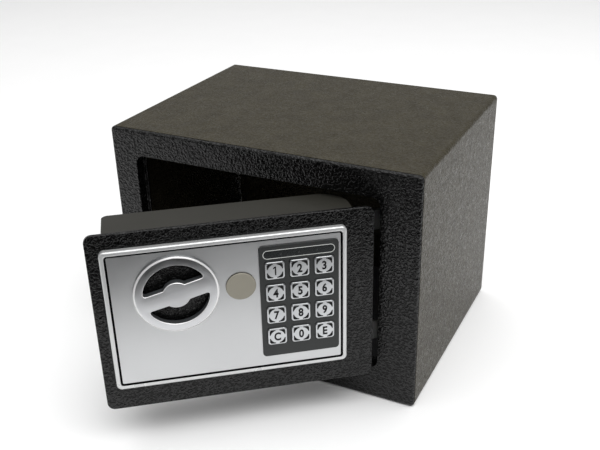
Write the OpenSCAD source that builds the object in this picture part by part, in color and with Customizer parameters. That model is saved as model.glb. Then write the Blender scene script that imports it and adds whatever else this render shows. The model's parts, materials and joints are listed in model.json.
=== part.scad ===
// Small electronic safe: a wrapped steel case, a door on a concealed goose-neck hinge that
// stands partly open, a turning knob that throws two bolts, a keypad and an emergency lock.
// The case sits on z = 0 with its face towards -Y and the middle of its footprint at the origin.
// Door pieces are drawn in the door's own frame: X runs from the plate's free edge towards the
// hinge, Y is the depth behind the plate's front, and Z is the height above the floor.

/* [Case] */
// Width of the case over its sides
case_w = 230; // [226:1:300]
// Depth of the case from face to back
case_d = 170; // [150:1:300]
// Height of the case
case_h = 170; // [167:1:240]
// Sheet thickness of the sides, the top and the floor
wall_t = 1.2; // [0.8:0.1:1.4]
// Outside radius of the case's long edges
edge_r = 3; // [2.6:0.1:5]
// Thickness of the back panel
back_t = 1.5; // [1:0.1:3]
// Thickness of the felt mat
mat_t = 2; // [1:0.1:4]
// Gap between the mat and the walls
mat_gap = 1; // [0.5:0.1:3]
// Radius of an anchor hole
anchor_r = 4.5; // [3:0.1:6]
// Distance between two anchor holes
anchor_pitch = 120; // [80:1:160]
// Height of the back's anchor holes
back_anchor_z = 110; // [60:1:140]

/* [Front frame] */
// Thickness of the face plate
face_t = 2.5; // [2:0.1:2.7]
// Radius of the face's rounded outer edge
face_edge = 2.4; // [1:0.1:2.4]
// Face width left of the doorway
margin_left = 20; // [16:0.5:22]
// Face width on the hinge side of the doorway
margin_right = 27; // [26.7:0.1:29]
// Face height below the doorway
margin_bottom = 24.5; // [20:0.5:26]
// Face height above the doorway
margin_top = 19; // [16:0.5:21]
// Corner radius of the doorway
opening_r = 6.3; // [4:0.1:8]
// Depth of the doorway before its stop lip
jamb_depth = 7.5; // [6:0.1:8]
// Thickness of the doorway's turned-in flange
jamb_t = 1.4; // [1:0.1:1.5]
// Width of the stop lip
lip_w = 2.5; // [2:0.1:2.7]
// Thickness of the stop lip
lip_t = 1.5; // [1:0.1:2]

/* [Door plate] */
// Angle at which the door stands open
door_open = 37.6; // [0:0.1:60]
// Thickness of the door plate
plate_t = 3; // [2:0.1:3.4]
// Corner radius of the door plate
plate_r = 5; // [3:0.1:7]
// Gap between the plate's free edge and the doorway
gap_free = 1; // [0.8:0.1:1.5]
// Gap between the plate and the doorway on the hinge side
gap_hinge = 8.5; // [8:0.1:9]
// Gap above and below the plate
gap_ends = 1.3; // [1:0.1:1.6]
// Depth of the plate's front behind the face when shut
door_recess = 0.5; // [0:0.1:1]

/* [Door pan] */
// Distance of the pan from the plate's free edge
pan_left = 10; // [9:0.1:11]
// Distance of the pan from the plate's hinge edge
pan_right = 12; // [11:0.1:14]
// Distance of the pan from the plate's top and bottom edges
pan_inset = 3.6; // [3:0.1:4.5]
// Depth of the pan behind the plate
pan_depth = 31; // [30:0.5:34]
// Sheet thickness of the pan
pan_t = 1.2; // [0.8:0.1:1.6]
// Radius of the pan's rear corner at the free side
pan_free_r = 4; // [2:0.1:6]
// Radius of the pan's rear corner at the hinge side
pan_hinge_r = 18; // [14:0.5:19]
// Width of the pan's rear flange round the service hole
service_rim = 8; // [7:0.1:8.5]
// Thickness of the inner cover
cover_t = 1; // [0.8:0.1:1.5]

/* [Hinge] */
// Distance of the pin behind the face
hinge_back = 8.5; // [8.3:0.1:8.8]
// Distance of the pin outside the doorway's hinge edge
hinge_out = 8.5; // [8.3:0.1:8.8]
// Radius of a hinge pin
pin_r = 2.8; // [2:0.1:3.2]
// Radius of a hinge knuckle
knuckle_r = 5.4; // [4.6:0.1:5.5]
// Height of a hinge arm
arm_h = 14; // [10:0.5:18]
// Thickness of a hinge arm
arm_t = 3.4; // [2.5:0.1:3.6]
// Room between a hinge arm and the doorway's flange
arm_clear = 0.8; // [0.6:0.1:1]
// Direction in which the neck leaves the pin
neck_angle = 30; // [15:1:45]
// Height of the hinge arms above and below the plate's edges
arm_inset = 13; // [12:0.5:22]
// Thickness of a hinge bracket
bracket_t = 3; // [2:0.1:4]
// Height of a bracket's welded foot
bracket_foot = 16; // [8:0.5:18]
// Running clearance between a pin and its bore
running = 0.05; // [0.02:0.01:0.1]

/* [Panel] */
// Left edge of the satin panel from the plate's free edge
panel_s = 10.9; // [9:0.1:12]
// Bottom edge of the satin panel above the plate's lower edge
panel_up = 20.5; // [18:0.1:22]
// Width of the satin panel
panel_w = 141.1; // [140.6:0.1:142]
// Height of the satin panel
panel_h = 90.6; // [90:0.1:92]
// Corner radius of the satin panel
panel_r = 1.5; // [1:0.1:3]
// Thickness of the satin panel
panel_t = 2.2; // [1.6:0.1:2.6]
// Width of the bright surround
bezel_w = 2.7; // [2:0.1:3.2]
// Height of the bright surround over the plate
bezel_h = 4; // [3.6:0.1:4.5]
// Corner radius of the bright surround
bezel_r = 3.4; // [3:0.1:5]
// Width of the groove round the satin panel
groove = 0.6; // [0.4:0.1:0.8]
// Thickness of the tray under the satin panel
tray_t = 1; // [0.8:0.1:1.3]

/* [Knob] */
// Gap between the satin panel's left edge and the knob
knob_gap = 13.25; // [12.5:0.05:14]
// Knob and lock centre above the plate's lower edge
knob_up = 81.6; // [80:0.1:83]
// Outside radius of the knob
knob_r = 25.85; // [24.5:0.05:27]
// Inside radius of the knob's ring
knob_in_r = 20.2; // [18:0.1:20.6]
// Width of the knob's bar
bar_w = 10.7; // [8:0.1:13]
// Radius of the boss in the middle of the bar
boss_r = 8.5; // [7:0.1:10]
// Tilt of the bar, rising towards the hinge
bar_tilt = 14.5; // [0:0.5:30]
// Height of the knob's ring over the satin panel
knob_proud = 2.4; // [1.8:0.1:3.5]
// Radius of the knob's shaft
shaft_r = 3; // [2.5:0.1:3.5]
// Radius of the circle on which the crank pin moves
crank_r = 10; // [9:0.1:10.5]
// Turn of the knob between unlocked and locked
knob_turn = 70; // [50:1:75]

/* [Bolts] */
// Radius of a bolt
bolt_r = 8; // [5:0.1:8.2]
// Depth of the bolts' axes behind the plate's front
bolt_depth = 18; // [17.6:0.1:18.5]
// Distance between the two bolts
bolt_pitch = 50; // [46:0.5:54]
// How far a drawn bolt stands out of the pan
bolt_proud = 1.5; // [0.5:0.1:3]
// Length of a bolt
bolt_len = 25.5; // [22:0.1:27]
// Thickness of the bolt carriage
carriage_t = 2.5; // [2:0.1:3]
// Radius of a guide stud
stud_r = 2.2; // [1.8:0.1:2.4]
// Clearance of the carriage on its studs and crank pin
slide_gap = 0.3; // [0.25:0.05:0.5]

/* [Emergency lock] */
// Gap between the knob and the cover cap
lock_gap = 3.9; // [3.5:0.1:4.5]
// Radius of the cover cap
cap_r = 9.25; // [8.6:0.05:9.6]
// Height of the cover cap over the satin panel
cap_proud = 1.3; // [0.8:0.1:2]
// Radius of the lock's threaded housing
lock_r = 7; // [6:0.1:7.3]
// Radius of the turning lock core
core_r = 4.8; // [4:0.1:5.2]
// Depth of the lock housing behind the plate's front
lock_depth = 14; // [10:0.1:14.5]

/* [Keypad] */
// Gap between the cover cap and the keypad overlay
overlay_gap = 2.35; // [2:0.05:2.8]
// Gap between the overlay and the satin panel's right edge
overlay_right = 2; // [1.5:0.1:2.6]
// Bottom edge of the overlay above the plate's lower edge
overlay_up = 28; // [26:0.1:29]
// Width of the overlay
overlay_w = 49.4; // [49:0.1:49.8]
// Height of the overlay
overlay_h = 78.7; // [78:0.1:80]
// Corner radius of the overlay
overlay_r = 2.5; // [1:0.1:4]
// Thickness of the overlay
overlay_t = 0.8; // [0.6:0.1:1]
// Width of a key
key_w = 12; // [11:0.1:12.4]
// Height of a key
key_h = 11.75; // [11:0.05:12.4]
// Corner radius of a key
key_r = 1.8; // [1:0.1:2.5]
// Distance between two columns of keys
col_pitch = 15.3; // [15:0.1:15.4]
// Distance between two rows of keys
row_pitch = 15.8; // [15.4:0.1:15.8]
// Travel of a key
key_travel = 0.5; // [0.3:0.1:0.7]
// Length of the oval status window
led_w = 44.7; // [42:0.1:45]
// Height of the oval status window
led_h = 6; // [5.4:0.1:6.4]

/* [Battery box] */
// Radius of a battery
cell_r = 7.25; // [7:0.05:7.3]
// Length of a battery
cell_len = 50.5; // [49:0.1:50.5]
// Distance between two batteries
cell_pitch = 14.9; // [14.7:0.1:15]
// Wall thickness of the battery box
box_t = 1.2; // [1:0.1:1.3]
// Depth of the battery box
box_depth = 19; // [17:0.1:19.5]

/* [Hidden] */
$fn = 64;

black = [0.10, 0.10, 0.09];
black_door = [0.13, 0.13, 0.13];
pan_grey = [0.24, 0.23, 0.21];
zinc = [0.68, 0.69, 0.70];
satin = [0.75, 0.76, 0.77];
board_green = [0.08, 0.32, 0.18];
moulded_black = [0.08, 0.08, 0.09];

hair = 0.05;
seat = 0.1;
cut = 1;

face_y = -case_d / 2;
inner_x = case_w / 2 - wall_t;
opening_x0 = -case_w / 2 + margin_left;
opening_x1 = case_w / 2 - margin_right;
opening_z0 = margin_bottom;
opening_z1 = case_h - margin_top;
wrap_y0 = face_y + face_t;
floor_z = wall_t;

plate_w = opening_x1 - opening_x0 - gap_free - gap_hinge;
plate_h = opening_z1 - opening_z0 - 2 * gap_ends;
plate_x0 = opening_x0 + gap_free;
plate_y0 = face_y + door_recess;
plate_z0 = opening_z0 + gap_ends;
plate_z1 = plate_z0 + plate_h;
mid_z = (plate_z0 + plate_z1) / 2;

hinge_x = opening_x1 + hinge_out;
hinge_y = face_y + hinge_back;
hinge_s = hinge_x - plate_x0;
hinge_d = hinge_y - plate_y0;
lip_reach = norm([hinge_out + lip_w, jamb_depth + lip_t - hinge_back]);
ring_in = max(norm([hinge_out, hinge_back]), lip_reach) + arm_clear;
ring_out = ring_in + arm_t;
arm_low_z = plate_z0 + arm_inset;
arm_high_z = plate_z1 - arm_inset - arm_h;
thrust = 0.1;
pin_head_r = pin_r + 1.4;
pin_head_t = 1.5;
leaf_back = 9;
pad_front = 8;

pan_s0 = pan_left;
pan_s1 = plate_w - pan_right;
pan_z0 = plate_z0 + pan_inset;
pan_z1 = plate_z1 - pan_inset;
pan_d1 = plate_t + pan_depth;
service_s0 = pan_s0 + service_rim + pan_free_r - 2;
service_s1 = pan_s1 - pan_hinge_r - 4.5;
service_z0 = pan_z0 + service_rim;
service_z1 = pan_z1 - service_rim;
cover_lap = 4.5;
cover_d1 = pan_d1 + cover_t;
cover_screw_r = 1.5;
screw_head_t = 1.4;

panel_z0 = plate_z0 + panel_up;
panel_front = -(tray_t + panel_t);
bezel_out = groove + bezel_w;
gap_scale = (panel_w - 2 * knob_r - 2 * cap_r - overlay_w)
    / (knob_gap + lock_gap + overlay_gap + overlay_right);
knob_s = panel_s + gap_scale * knob_gap + knob_r;
lock_s = knob_s + knob_r + gap_scale * lock_gap + cap_r;
overlay_s = lock_s + cap_r + gap_scale * overlay_gap;
knob_z = plate_z0 + knob_up;
panel_hole_r = knob_in_r + 2.4;
knob_face = panel_front - knob_proud;
knob_back = -0.6;
collar_r = knob_in_r + 1.5;
bush_r = shaft_r + 2;
cam_d0 = plate_t + 1.8;
cam_d1 = bolt_depth - carriage_t / 2 - 4.7;
cam_arm_t = 3;
crank_pin_r = 2;
shaft_end = bolt_depth - carriage_t / 2 - 1.2;
crank_start = 90 - knob_turn / 2;
throw = 2 * crank_r * sin(knob_turn / 2);

bolt_zs = [mid_z - bolt_pitch / 2, mid_z + bolt_pitch / 2];
bolt_s0 = pan_s0 - bolt_proud;
bolt_s1 = bolt_s0 + bolt_len;
web_s0 = bolt_s1 + carriage_t;
web_s1 = knob_s + 25;
web_up_s1 = knob_s + 14;
web_z0 = knob_z - 29.4;
web_mid_z = knob_z - 7.4;
web_z1 = knob_z + crank_r + 7.6;
web_d0 = bolt_depth - carriage_t / 2;
web_d1 = bolt_depth + carriage_t / 2;
stud_a = [web_s0 + stud_r + slide_gap + 1.6, web_z0 + 6];
stud_b = [stud_a[0] + 15.5, web_z0 + 16];

lock_front = -tray_t;
lock_z = knob_z;
cap_plug_r = cap_r - 0.8;

keyrow_z0 = plate_z0 + overlay_up + 14.9;
col_s0 = overlay_s + overlay_w / 2 - col_pitch;
overlay_z0 = plate_z0 + overlay_up;
overlay_back = panel_front;
overlay_front = panel_front - overlay_t;
key_face = overlay_front - 1.2;
key_flange = 0.7;
key_gap = 0.15;
flange_front = overlay_back + 0.2;
flange_back = flange_front + 0.8;
led_s = overlay_s + overlay_w / 2;
led_z = keyrow_z0 + 3 * row_pitch + 10.7;
window_s0 = col_s0 - key_w / 2 - key_flange - 0.4;
window_s1 = col_s0 + 2 * col_pitch + key_w / 2 + key_flange + 0.4;
window_z0 = keyrow_z0 - key_h / 2 - key_flange - 0.4;
window_z1 = led_z + led_h / 2;
board_lap = 3;
board_t = 1.4;
board_d1 = plate_t + board_t;
switch_front = 0.2;
stem_tip = switch_front + 0.4;
stem_r = 1.5;
control_d0 = board_d1 + 5.6;
control_t = 1.6;
control_s0 = window_s0 - 0.5;
control_w = 49;
control_h = 30;
control_s1 = control_s0 + control_w;
control_z0 = window_z1 - control_h - 2.2;
control_z1 = control_z0 + control_h;
reset_s = control_s0 + 22;
reset_z = control_z0 + 19;
reset_r = 2.8;
reset_switch = 4.4;

coil_s = web_s1 - 7;
coil_r = 8;
plunger_r = 3;
frame_t = 1.6;
coil_len = 22;
coil_z0 = web_z0 - coil_len - 10;
coil_z1 = coil_z0 + coil_len;
plunger_top = web_z0 - 0.4;
collar_z = coil_z1 + frame_t + 5;
spring_wire = 0.4;

box_len = cell_len + 2 * box_t + 3;
box_s1 = service_s1 - 1.8;
box_s0 = box_s1 - box_len;
box_z0 = service_z0 + 1;
box_h = 4 * cell_pitch + 2 * box_t;
box_d0 = pan_d1 - box_depth;
cell_d = box_d0 + box_t + cell_r + 0.2;

screw_s0 = panel_s + 6;
screw_s1 = panel_s + panel_w - 8.6;
panel_screw_spots = [[screw_s0, panel_z0 + 6], [screw_s1, panel_z0 + 3.2],
    [screw_s0, panel_z0 + panel_h - 4], [screw_s1, panel_z0 + panel_h - 2.6]];
cover_screw_spots = [[service_s0 - 2.2, service_z0 - 2.2], [service_s1 + 2.2, service_z0 - 2.2],
    [service_s0 - 2.2, service_z1 + 2.2], [service_s1 + 2.2, service_z1 + 2.2]];
standoff_spots = [[control_s0 + 3, control_z0 + 3], [control_s1 - 3, control_z0 + 3],
    [control_s0 + 3, control_z1 - 3], [control_s1 - 3, control_z1 - 3]];

// Turns pieces drawn in the shut door's frame out to where the open door stands.
module on_door() {
    translate([hinge_x, hinge_y, 0])
        rotate([0, 0, door_open])
            translate([-hinge_s, -hinge_d, 0])
                children();
}

// Rounded rectangle about the origin, made of two bars and four discs.
module rrect(w, h, r) {
    square([w - 2 * r, h], center = true);
    square([w, h - 2 * r], center = true);
    for (x = [-1, 1])
        for (y = [-1, 1])
            translate([x * (w / 2 - r), y * (h / 2 - r)])
                circle(r);
}

// Upright slab between two depths, with rounded corners in the X-Z plane.
module slab(s0, s1, z0, z1, d0, d1, r) {
    translate([(s0 + s1) / 2, d1, (z0 + z1) / 2])
        rotate([90, 0, 0])
            linear_extrude(d1 - d0)
                rrect(s1 - s0, z1 - z0, r);
}

// Upright slab whose front edge is rounded as well, towards -Y.
module pillow(s0, s1, z0, z1, d0, d1, r, edge) {
    sliver = 0.01;
    translate([(s0 + s1) / 2, d1, (z0 + z1) / 2])
        rotate([90, 0, 0])
            hull() {
                linear_extrude(sliver)
                    rrect(s1 - s0, z1 - z0, r, $fn = 32);
                for (a = [0:15:90])
                    translate([0, 0, d1 - d0 - sliver - edge + edge * sin(a)])
                        linear_extrude(sliver)
                            rrect(s1 - s0 - 2 * edge * (1 - cos(a)),
                                z1 - z0 - 2 * edge * (1 - cos(a)),
                                max(r - edge * (1 - cos(a)), 0.3), $fn = 32);
            }
}

module block(s0, s1, d0, d1, z0, z1) {
    translate([s0, d0, z0])
        cube([s1 - s0, d1 - d0, z1 - z0]);
}

// Round peg along the depth.
module peg(s, z, d0, d1, r) {
    translate([s, d1, z])
        rotate([90, 0, 0])
            cylinder(r = r, h = d1 - d0);
}

// Round bar along the width.
module bar_x(s0, s1, d, z, r) {
    translate([s0, d, z])
        rotate([0, 90, 0])
            cylinder(r = r, h = s1 - s0);
}

// Upright round post.
module post(s, d, z0, z1, r) {
    translate([s, d, z0])
        cylinder(r = r, h = z1 - z0);
}

// Pan-head screw that comes from behind, with a cross recess.
module rear_screw(s, z, head_d, tip_d, shank_r) {
    head_r = 2 * shank_r;
    recess_w = 0.5;
    difference() {
        peg(s, z, head_d, head_d + screw_head_t, head_r);
        block(s - head_r * 0.6, s + head_r * 0.6, head_d + screw_head_t / 2, head_d + 2 * screw_head_t,
            z - recess_w / 2, z + recess_w / 2);
        block(s - recess_w / 2, s + recess_w / 2, head_d + screw_head_t / 2, head_d + 2 * screw_head_t,
            z - head_r * 0.6, z + head_r * 0.6);
    }
    peg(s, z, tip_d, head_d, shank_r);
}

// Outline of the case across its depth.
module case_outline(inset) {
    translate([0, case_h / 2])
        rrect(case_w - 2 * inset, case_h - 2 * inset, edge_r - inset);
}

module case_wrap() {
    color(black)
        difference() {
            translate([0, case_d / 2, 0])
                rotate([90, 0, 0])
                    linear_extrude(case_d / 2 - wrap_y0)
                        case_outline(0);
            translate([0, case_d / 2 + cut, 0])
                rotate([90, 0, 0])
                    linear_extrude(case_d / 2 - wrap_y0 + 2 * cut)
                        case_outline(wall_t);
            for (x = [-1, 1])
                post(x * anchor_pitch / 2, 0, -cut, floor_z + cut, anchor_r);
        }
}

module back_panel() {
    color(black)
        difference() {
            translate([0, case_d / 2, 0])
                rotate([90, 0, 0])
                    linear_extrude(back_t)
                        case_outline(wall_t + seat);
            for (x = [-1, 1])
                peg(x * anchor_pitch / 2, back_anchor_z, case_d / 2 - back_t - cut, case_d / 2 + cut,
                    anchor_r);
        }
}

// Slab that follows the doorway, grown outwards by a step.
module doorway(grow, y0, y1) {
    slab(opening_x0 - grow, opening_x1 + grow, opening_z0 - grow, opening_z1 + grow, y0, y1,
        opening_r + grow);
}

module front_frame() {
    lip_y0 = face_y + jamb_depth;
    lip_y1 = lip_y0 + lip_t;
    color(black) {
        difference() {
            pillow(-case_w / 2, case_w / 2, 0, case_h, face_y, wrap_y0, edge_r, face_edge);
            doorway(0, face_y - cut, wrap_y0 + cut);
        }
        difference() {
            doorway(jamb_t, wrap_y0 - hair, lip_y1);
            doorway(0, face_y, lip_y0);
            doorway(-lip_w, lip_y0 - hair, lip_y1 + cut);
        }
    }
}

module floor_mat() {
    side = inner_x + wall_t - edge_r - mat_gap;
    color([0.12, 0.12, 0.13])
        difference() {
            block(-side, side, hinge_y, case_d / 2 - back_t - mat_gap, floor_z, floor_z + mat_t);
            for (x = [-1, 1])
                post(x * anchor_pitch / 2, 0, 0, floor_z + mat_t + cut, anchor_r + 1);
        }
}

// Leaf with a pin hole and a foot welded to the side wall. The foot points up or down.
module hinge_bracket(leaf_z, up) {
    foot_z0 = up > 0 ? leaf_z : leaf_z + bracket_t - bracket_foot;
    color(zinc)
        difference() {
            union() {
                block(hinge_x - knuckle_r, inner_x, hinge_y - knuckle_r, hinge_y + leaf_back, leaf_z,
                    leaf_z + bracket_t);
                block(inner_x - bracket_t, inner_x, hinge_y - knuckle_r, hinge_y + leaf_back, foot_z0,
                    foot_z0 + bracket_foot);
            }
            post(hinge_x, hinge_y, leaf_z - cut, leaf_z + bracket_t + cut, pin_r + running);
        }
}

module hinge_bracket_upper() {
    hinge_bracket(arm_high_z + arm_h + thrust, 1);
}

module hinge_bracket_lower() {
    hinge_bracket(arm_low_z - thrust - bracket_t, -1);
}

module hinge_pins() {
    low = arm_low_z - thrust - bracket_t;
    high = arm_high_z + arm_h + thrust + bracket_t;
    pin_len = bracket_t + thrust + arm_h;
    color(zinc) {
        post(hinge_x, hinge_y, low, low + pin_len, pin_r);
        post(hinge_x, hinge_y, low - pin_head_t, low, pin_head_r);
        post(hinge_x, hinge_y, high - pin_len, high, pin_r);
        post(hinge_x, hinge_y, high, high + pin_head_t, pin_head_r);
    }
}

module door_plate() {
    color(black_door)
        on_door()
            difference() {
                slab(0, plate_w, plate_z0, plate_z1, 0, plate_t, plate_r);
                peg(knob_s, knob_z, -cut, plate_t + cut, bush_r + seat);
                peg(lock_s, lock_z, -cut, plate_t + cut, lock_r + seat);
                slab(window_s0, window_s1, window_z0, window_z1, -cut, plate_t + cut, 1);
                for (p = panel_screw_spots)
                    peg(p[0], p[1], -cut, plate_t + cut, 2.6);
            }
}

// Outline of the pan seen from above, set in by a step, with its front left open.
module pan_outline(inset, front) {
    s0 = pan_s0 + inset;
    s1 = pan_s1 - inset;
    d1 = pan_d1 - inset;
    rf = pan_free_r - inset;
    rh = pan_hinge_r - inset;
    intersection() {
        translate([s0, front])
            square([s1 - s0, d1 - front]);
        union() {
            translate([s0, front])
                square([s1 - s0, d1 - rh - front]);
            translate([s0, front])
                square([s1 - s0 - rh, d1 - rf - front]);
            translate([s0 + rf, front])
                square([s1 - s0 - rf - rh, d1 - front]);
            translate([s0 + rf, d1 - rf])
                circle(rf);
            translate([s1 - rh, d1 - rh])
                circle(rh);
        }
    }
}

module door_pan() {
    color(pan_grey)
        on_door()
            difference() {
                translate([0, 0, pan_z0])
                    linear_extrude(pan_z1 - pan_z0)
                        pan_outline(0, plate_t);
                translate([0, 0, pan_z0 + pan_t])
                    linear_extrude(pan_z1 - pan_z0 - 2 * pan_t)
                        pan_outline(pan_t, plate_t - cut);
                slab(service_s0, service_s1, service_z0, service_z1, pan_d1 - 2 * pan_t, pan_d1 + cut, 2);
                for (z = bolt_zs)
                    bar_x(pan_s0 - cut, pan_s0 + pan_t + cut, bolt_depth, z, bolt_r + slide_gap);
                for (p = cover_screw_spots)
                    peg(p[0], p[1], pan_d1 - 2 * pan_t, pan_d1 + cut, cover_screw_r + seat);
            }
}

// Flat goose-neck: a knuckle on the pin, a neck, a bend round the doorway's flange, a straight
// leg back to the pan and a pad that lies on the pan's side.
module hinge_arm(z0) {
    far = 2 * ring_out;
    bend_step = 0.2;
    color(zinc)
        on_door()
            translate([hinge_s, hinge_d, z0])
                difference() {
                    linear_extrude(arm_h) {
                        circle(knuckle_r);
                        rotate(neck_angle)
                            translate([0, -arm_t / 2])
                                square([ring_out - bend_step, arm_t]);
                        intersection() {
                            difference() {
                                circle(ring_out);
                                circle(ring_in);
                            }
                            polygon([[0, 0], far * [cos(neck_angle), sin(neck_angle)], [far, far], [0, far]]);
                        }
                        translate([pan_s1 + hair - hinge_s, ring_in + bend_step])
                            square([hinge_s - pan_s1 - hair + 1, arm_t - 2 * bend_step]);
                        translate([pan_s1 + hair - hinge_s, pad_front - hinge_d])
                            square([arm_t, ring_out - pad_front + hinge_d]);
                    }
                    translate([0, 0, -cut])
                        cylinder(r = pin_r + running, h = arm_h + 2 * cut);
                }
}

module hinge_arm_upper() {
    hinge_arm(arm_high_z);
}

module hinge_arm_lower() {
    hinge_arm(arm_low_z);
}

module pan_cover() {
    color(pan_grey)
        on_door()
            difference() {
                slab(service_s0 - cover_lap, service_s1 + cover_lap, service_z0 - cover_lap,
                    service_z1 + cover_lap, pan_d1, cover_d1, 3);
                slab(box_s0 + 3, box_s1 - 3, box_z0 + 3, box_z0 + box_h - 3, pan_d1 - cut, cover_d1 + cut, 2);
                peg(reset_s, reset_z, pan_d1 - cut, cover_d1 + cut, reset_r + 0.3);
                for (p = cover_screw_spots)
                    peg(p[0], p[1], pan_d1 - cut, cover_d1 + cut, cover_screw_r + seat);
            }
}

module cover_screws() {
    color(zinc)
        on_door()
            for (p = cover_screw_spots)
                rear_screw(p[0], p[1], cover_d1, cover_d1 - 6, cover_screw_r);
}

// Bright moulded surround with a thin tray that carries the satin panel.
module bezel() {
    s0 = panel_s - bezel_out;
    s1 = panel_s + panel_w + bezel_out;
    z0 = panel_z0 - bezel_out;
    z1 = panel_z0 + panel_h + bezel_out;
    color([0.82, 0.83, 0.84])
        on_door()
            difference() {
                union() {
                    pillow(s0, s1, z0, z1, -bezel_h, 0, bezel_r, 1.3);
                    for (p = panel_screw_spots)
                        peg(p[0], p[1], -hair, plate_t - 0.2, 2.5);
                }
                slab(s0 + bezel_w, s1 - bezel_w, z0 + bezel_w, z1 - bezel_w, -bezel_h - cut, -tray_t,
                    panel_r + groove);
                peg(knob_s, knob_z, -tray_t - cut, cut, panel_hole_r);
                peg(lock_s, lock_z, -tray_t - cut, cut, cap_plug_r + seat);
                slab(window_s0, window_s1, window_z0, window_z1, -tray_t - cut, cut, 1);
                for (p = panel_screw_spots)
                    peg(p[0], p[1], -tray_t / 2, plate_t + cut, 1.2 + seat);
            }
}

module panel_plate() {
    color(satin)
        on_door()
            difference() {
                slab(panel_s, panel_s + panel_w, panel_z0, panel_z0 + panel_h, panel_front, -tray_t, panel_r);
                peg(knob_s, knob_z, panel_front - cut, 0, panel_hole_r);
                peg(lock_s, lock_z, panel_front - cut, 0, cap_plug_r + seat);
                slab(window_s0, window_s1, window_z0, window_z1, panel_front - cut, 0, 1);
            }
}

module panel_screws() {
    color(zinc)
        on_door()
            for (p = panel_screw_spots)
                rear_screw(p[0], p[1], plate_t, 0, 1.2, $fn = 32);
}

module keypad_overlay() {
    ledge = overlay_t / 2;
    color([0.25, 0.26, 0.27])
        on_door()
            difference() {
                slab(overlay_s, overlay_s + overlay_w, overlay_z0, overlay_z0 + overlay_h, overlay_front,
                    overlay_back, overlay_r);
                for (c = [0:2])
                    for (r = [0:3])
                        translate([c * col_pitch, 0, r * row_pitch])
                            slab(col_s0 - key_w / 2 - key_gap, col_s0 + key_w / 2 + key_gap,
                                keyrow_z0 - key_h / 2 - key_gap, keyrow_z0 + key_h / 2 + key_gap,
                                overlay_front - cut, overlay_back + cut, key_r);
                slab(led_s - led_w / 2, led_s + led_w / 2, led_z - led_h / 2, led_z + led_h / 2,
                    overlay_front - cut, overlay_front + ledge, led_h / 2 - 0.1);
                slab(led_s - led_w / 2 + 2, led_s + led_w / 2 - 2, led_z - led_h / 2 + 1.2,
                    led_z + led_h / 2 - 1.2, overlay_front, overlay_back + cut, 1);
            }
}

module led_window() {
    color([0.16, 0.17, 0.18])
        on_door()
            slab(led_s - led_w / 2 + seat, led_s + led_w / 2 - seat, led_z - led_h / 2 + seat,
                led_z + led_h / 2 - seat, overlay_front, overlay_front + overlay_t / 2 - 0.02,
                led_h / 2 - 0.3);
}

module keypad_board() {
    color(board_green)
        on_door()
            difference() {
                block(window_s0 - board_lap, window_s1 + board_lap, plate_t, board_d1,
                    window_z0 - board_lap, window_z1 + board_lap);
                for (p = panel_screw_spots)
                    peg(p[0], p[1], 0, board_d1 + cut, 3);
            }
}

module tact_switches() {
    half = 3;
    color(moulded_black)
        on_door()
            for (c = [0:2])
                for (r = [0:3])
                    translate([col_s0 + c * col_pitch, 0, keyrow_z0 + r * row_pitch])
                        difference() {
                            block(-half, half, switch_front, plate_t, -half, half);
                            peg(0, 0, switch_front - cut, plate_t - 1, stem_r + 0.25, $fn = 24);
                        }
}

module status_leds() {
    lens_r = 1.1;
    rim_r = 1.35;
    color([0.35, 0.75, 0.35])
        on_door()
            for (i = [-1:1])
                translate([led_s + i * 12, 0, led_z]) {
                    peg(0, 0, overlay_back + 1, plate_t, lens_r, $fn = 24);
                    peg(0, 0, plate_t - 1, plate_t, rim_r, $fn = 24);
                }
}

module control_board() {
    back = control_d0 + control_t;
    color(board_green)
        on_door() {
            difference() {
                block(control_s0, control_s1, control_d0, back, control_z0, control_z1);
                for (p = standoff_spots)
                    peg(p[0], p[1], control_d0 - cut, back + cut, 1.3);
            }
            block(control_s0 + 32, control_s0 + 42, back, back + 1.6, control_z0 + 10, control_z0 + 20);
            block(control_s0 + 6, control_s0 + 14, back, back + 6, control_z0 + 7, control_z0 + 12);
            peg(control_s0 + 10, control_z0 + 21, back, back + 8, 3.2);
            difference() {
                block(reset_s - 3, reset_s + 3, back, back + reset_switch, reset_z - 3, reset_z + 3);
                peg(reset_s, reset_z, back + 1.2, back + reset_switch + cut, stem_r + 0.3);
            }
        }
}

module board_standoffs() {
    color(zinc)
        on_door()
            for (p = standoff_spots) {
                peg(p[0], p[1], board_d1, control_d0, 2.2);
                peg(p[0], p[1], control_d0, control_d0 + control_t, 1.2);
                peg(p[0], p[1], control_d0 + control_t, control_d0 + control_t + 1.4, 2.4);
            }
}

module solenoid_frame() {
    half = coil_r + 1.5;
    tail = bolt_depth + coil_r + 0.5;
    color(zinc)
        on_door()
            difference() {
                union() {
                    block(coil_s - half, coil_s + half, plate_t, plate_t + frame_t, coil_z0 - frame_t,
                        coil_z1 + frame_t);
                    block(coil_s - half, coil_s + half, plate_t, tail, coil_z0 - frame_t, coil_z0);
                    block(coil_s - half, coil_s + half, plate_t, tail, coil_z1, coil_z1 + frame_t);
                }
                post(coil_s, bolt_depth, coil_z1 - cut, coil_z1 + frame_t + cut, plunger_r + 0.3);
            }
}

module solenoid_coil() {
    color([0.62, 0.30, 0.12])
        on_door()
            difference() {
                post(coil_s, bolt_depth, coil_z0, coil_z1, coil_r);
                post(coil_s, bolt_depth, coil_z0 + 1.5, coil_z1 + cut, plunger_r + 0.3);
            }
}

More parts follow.
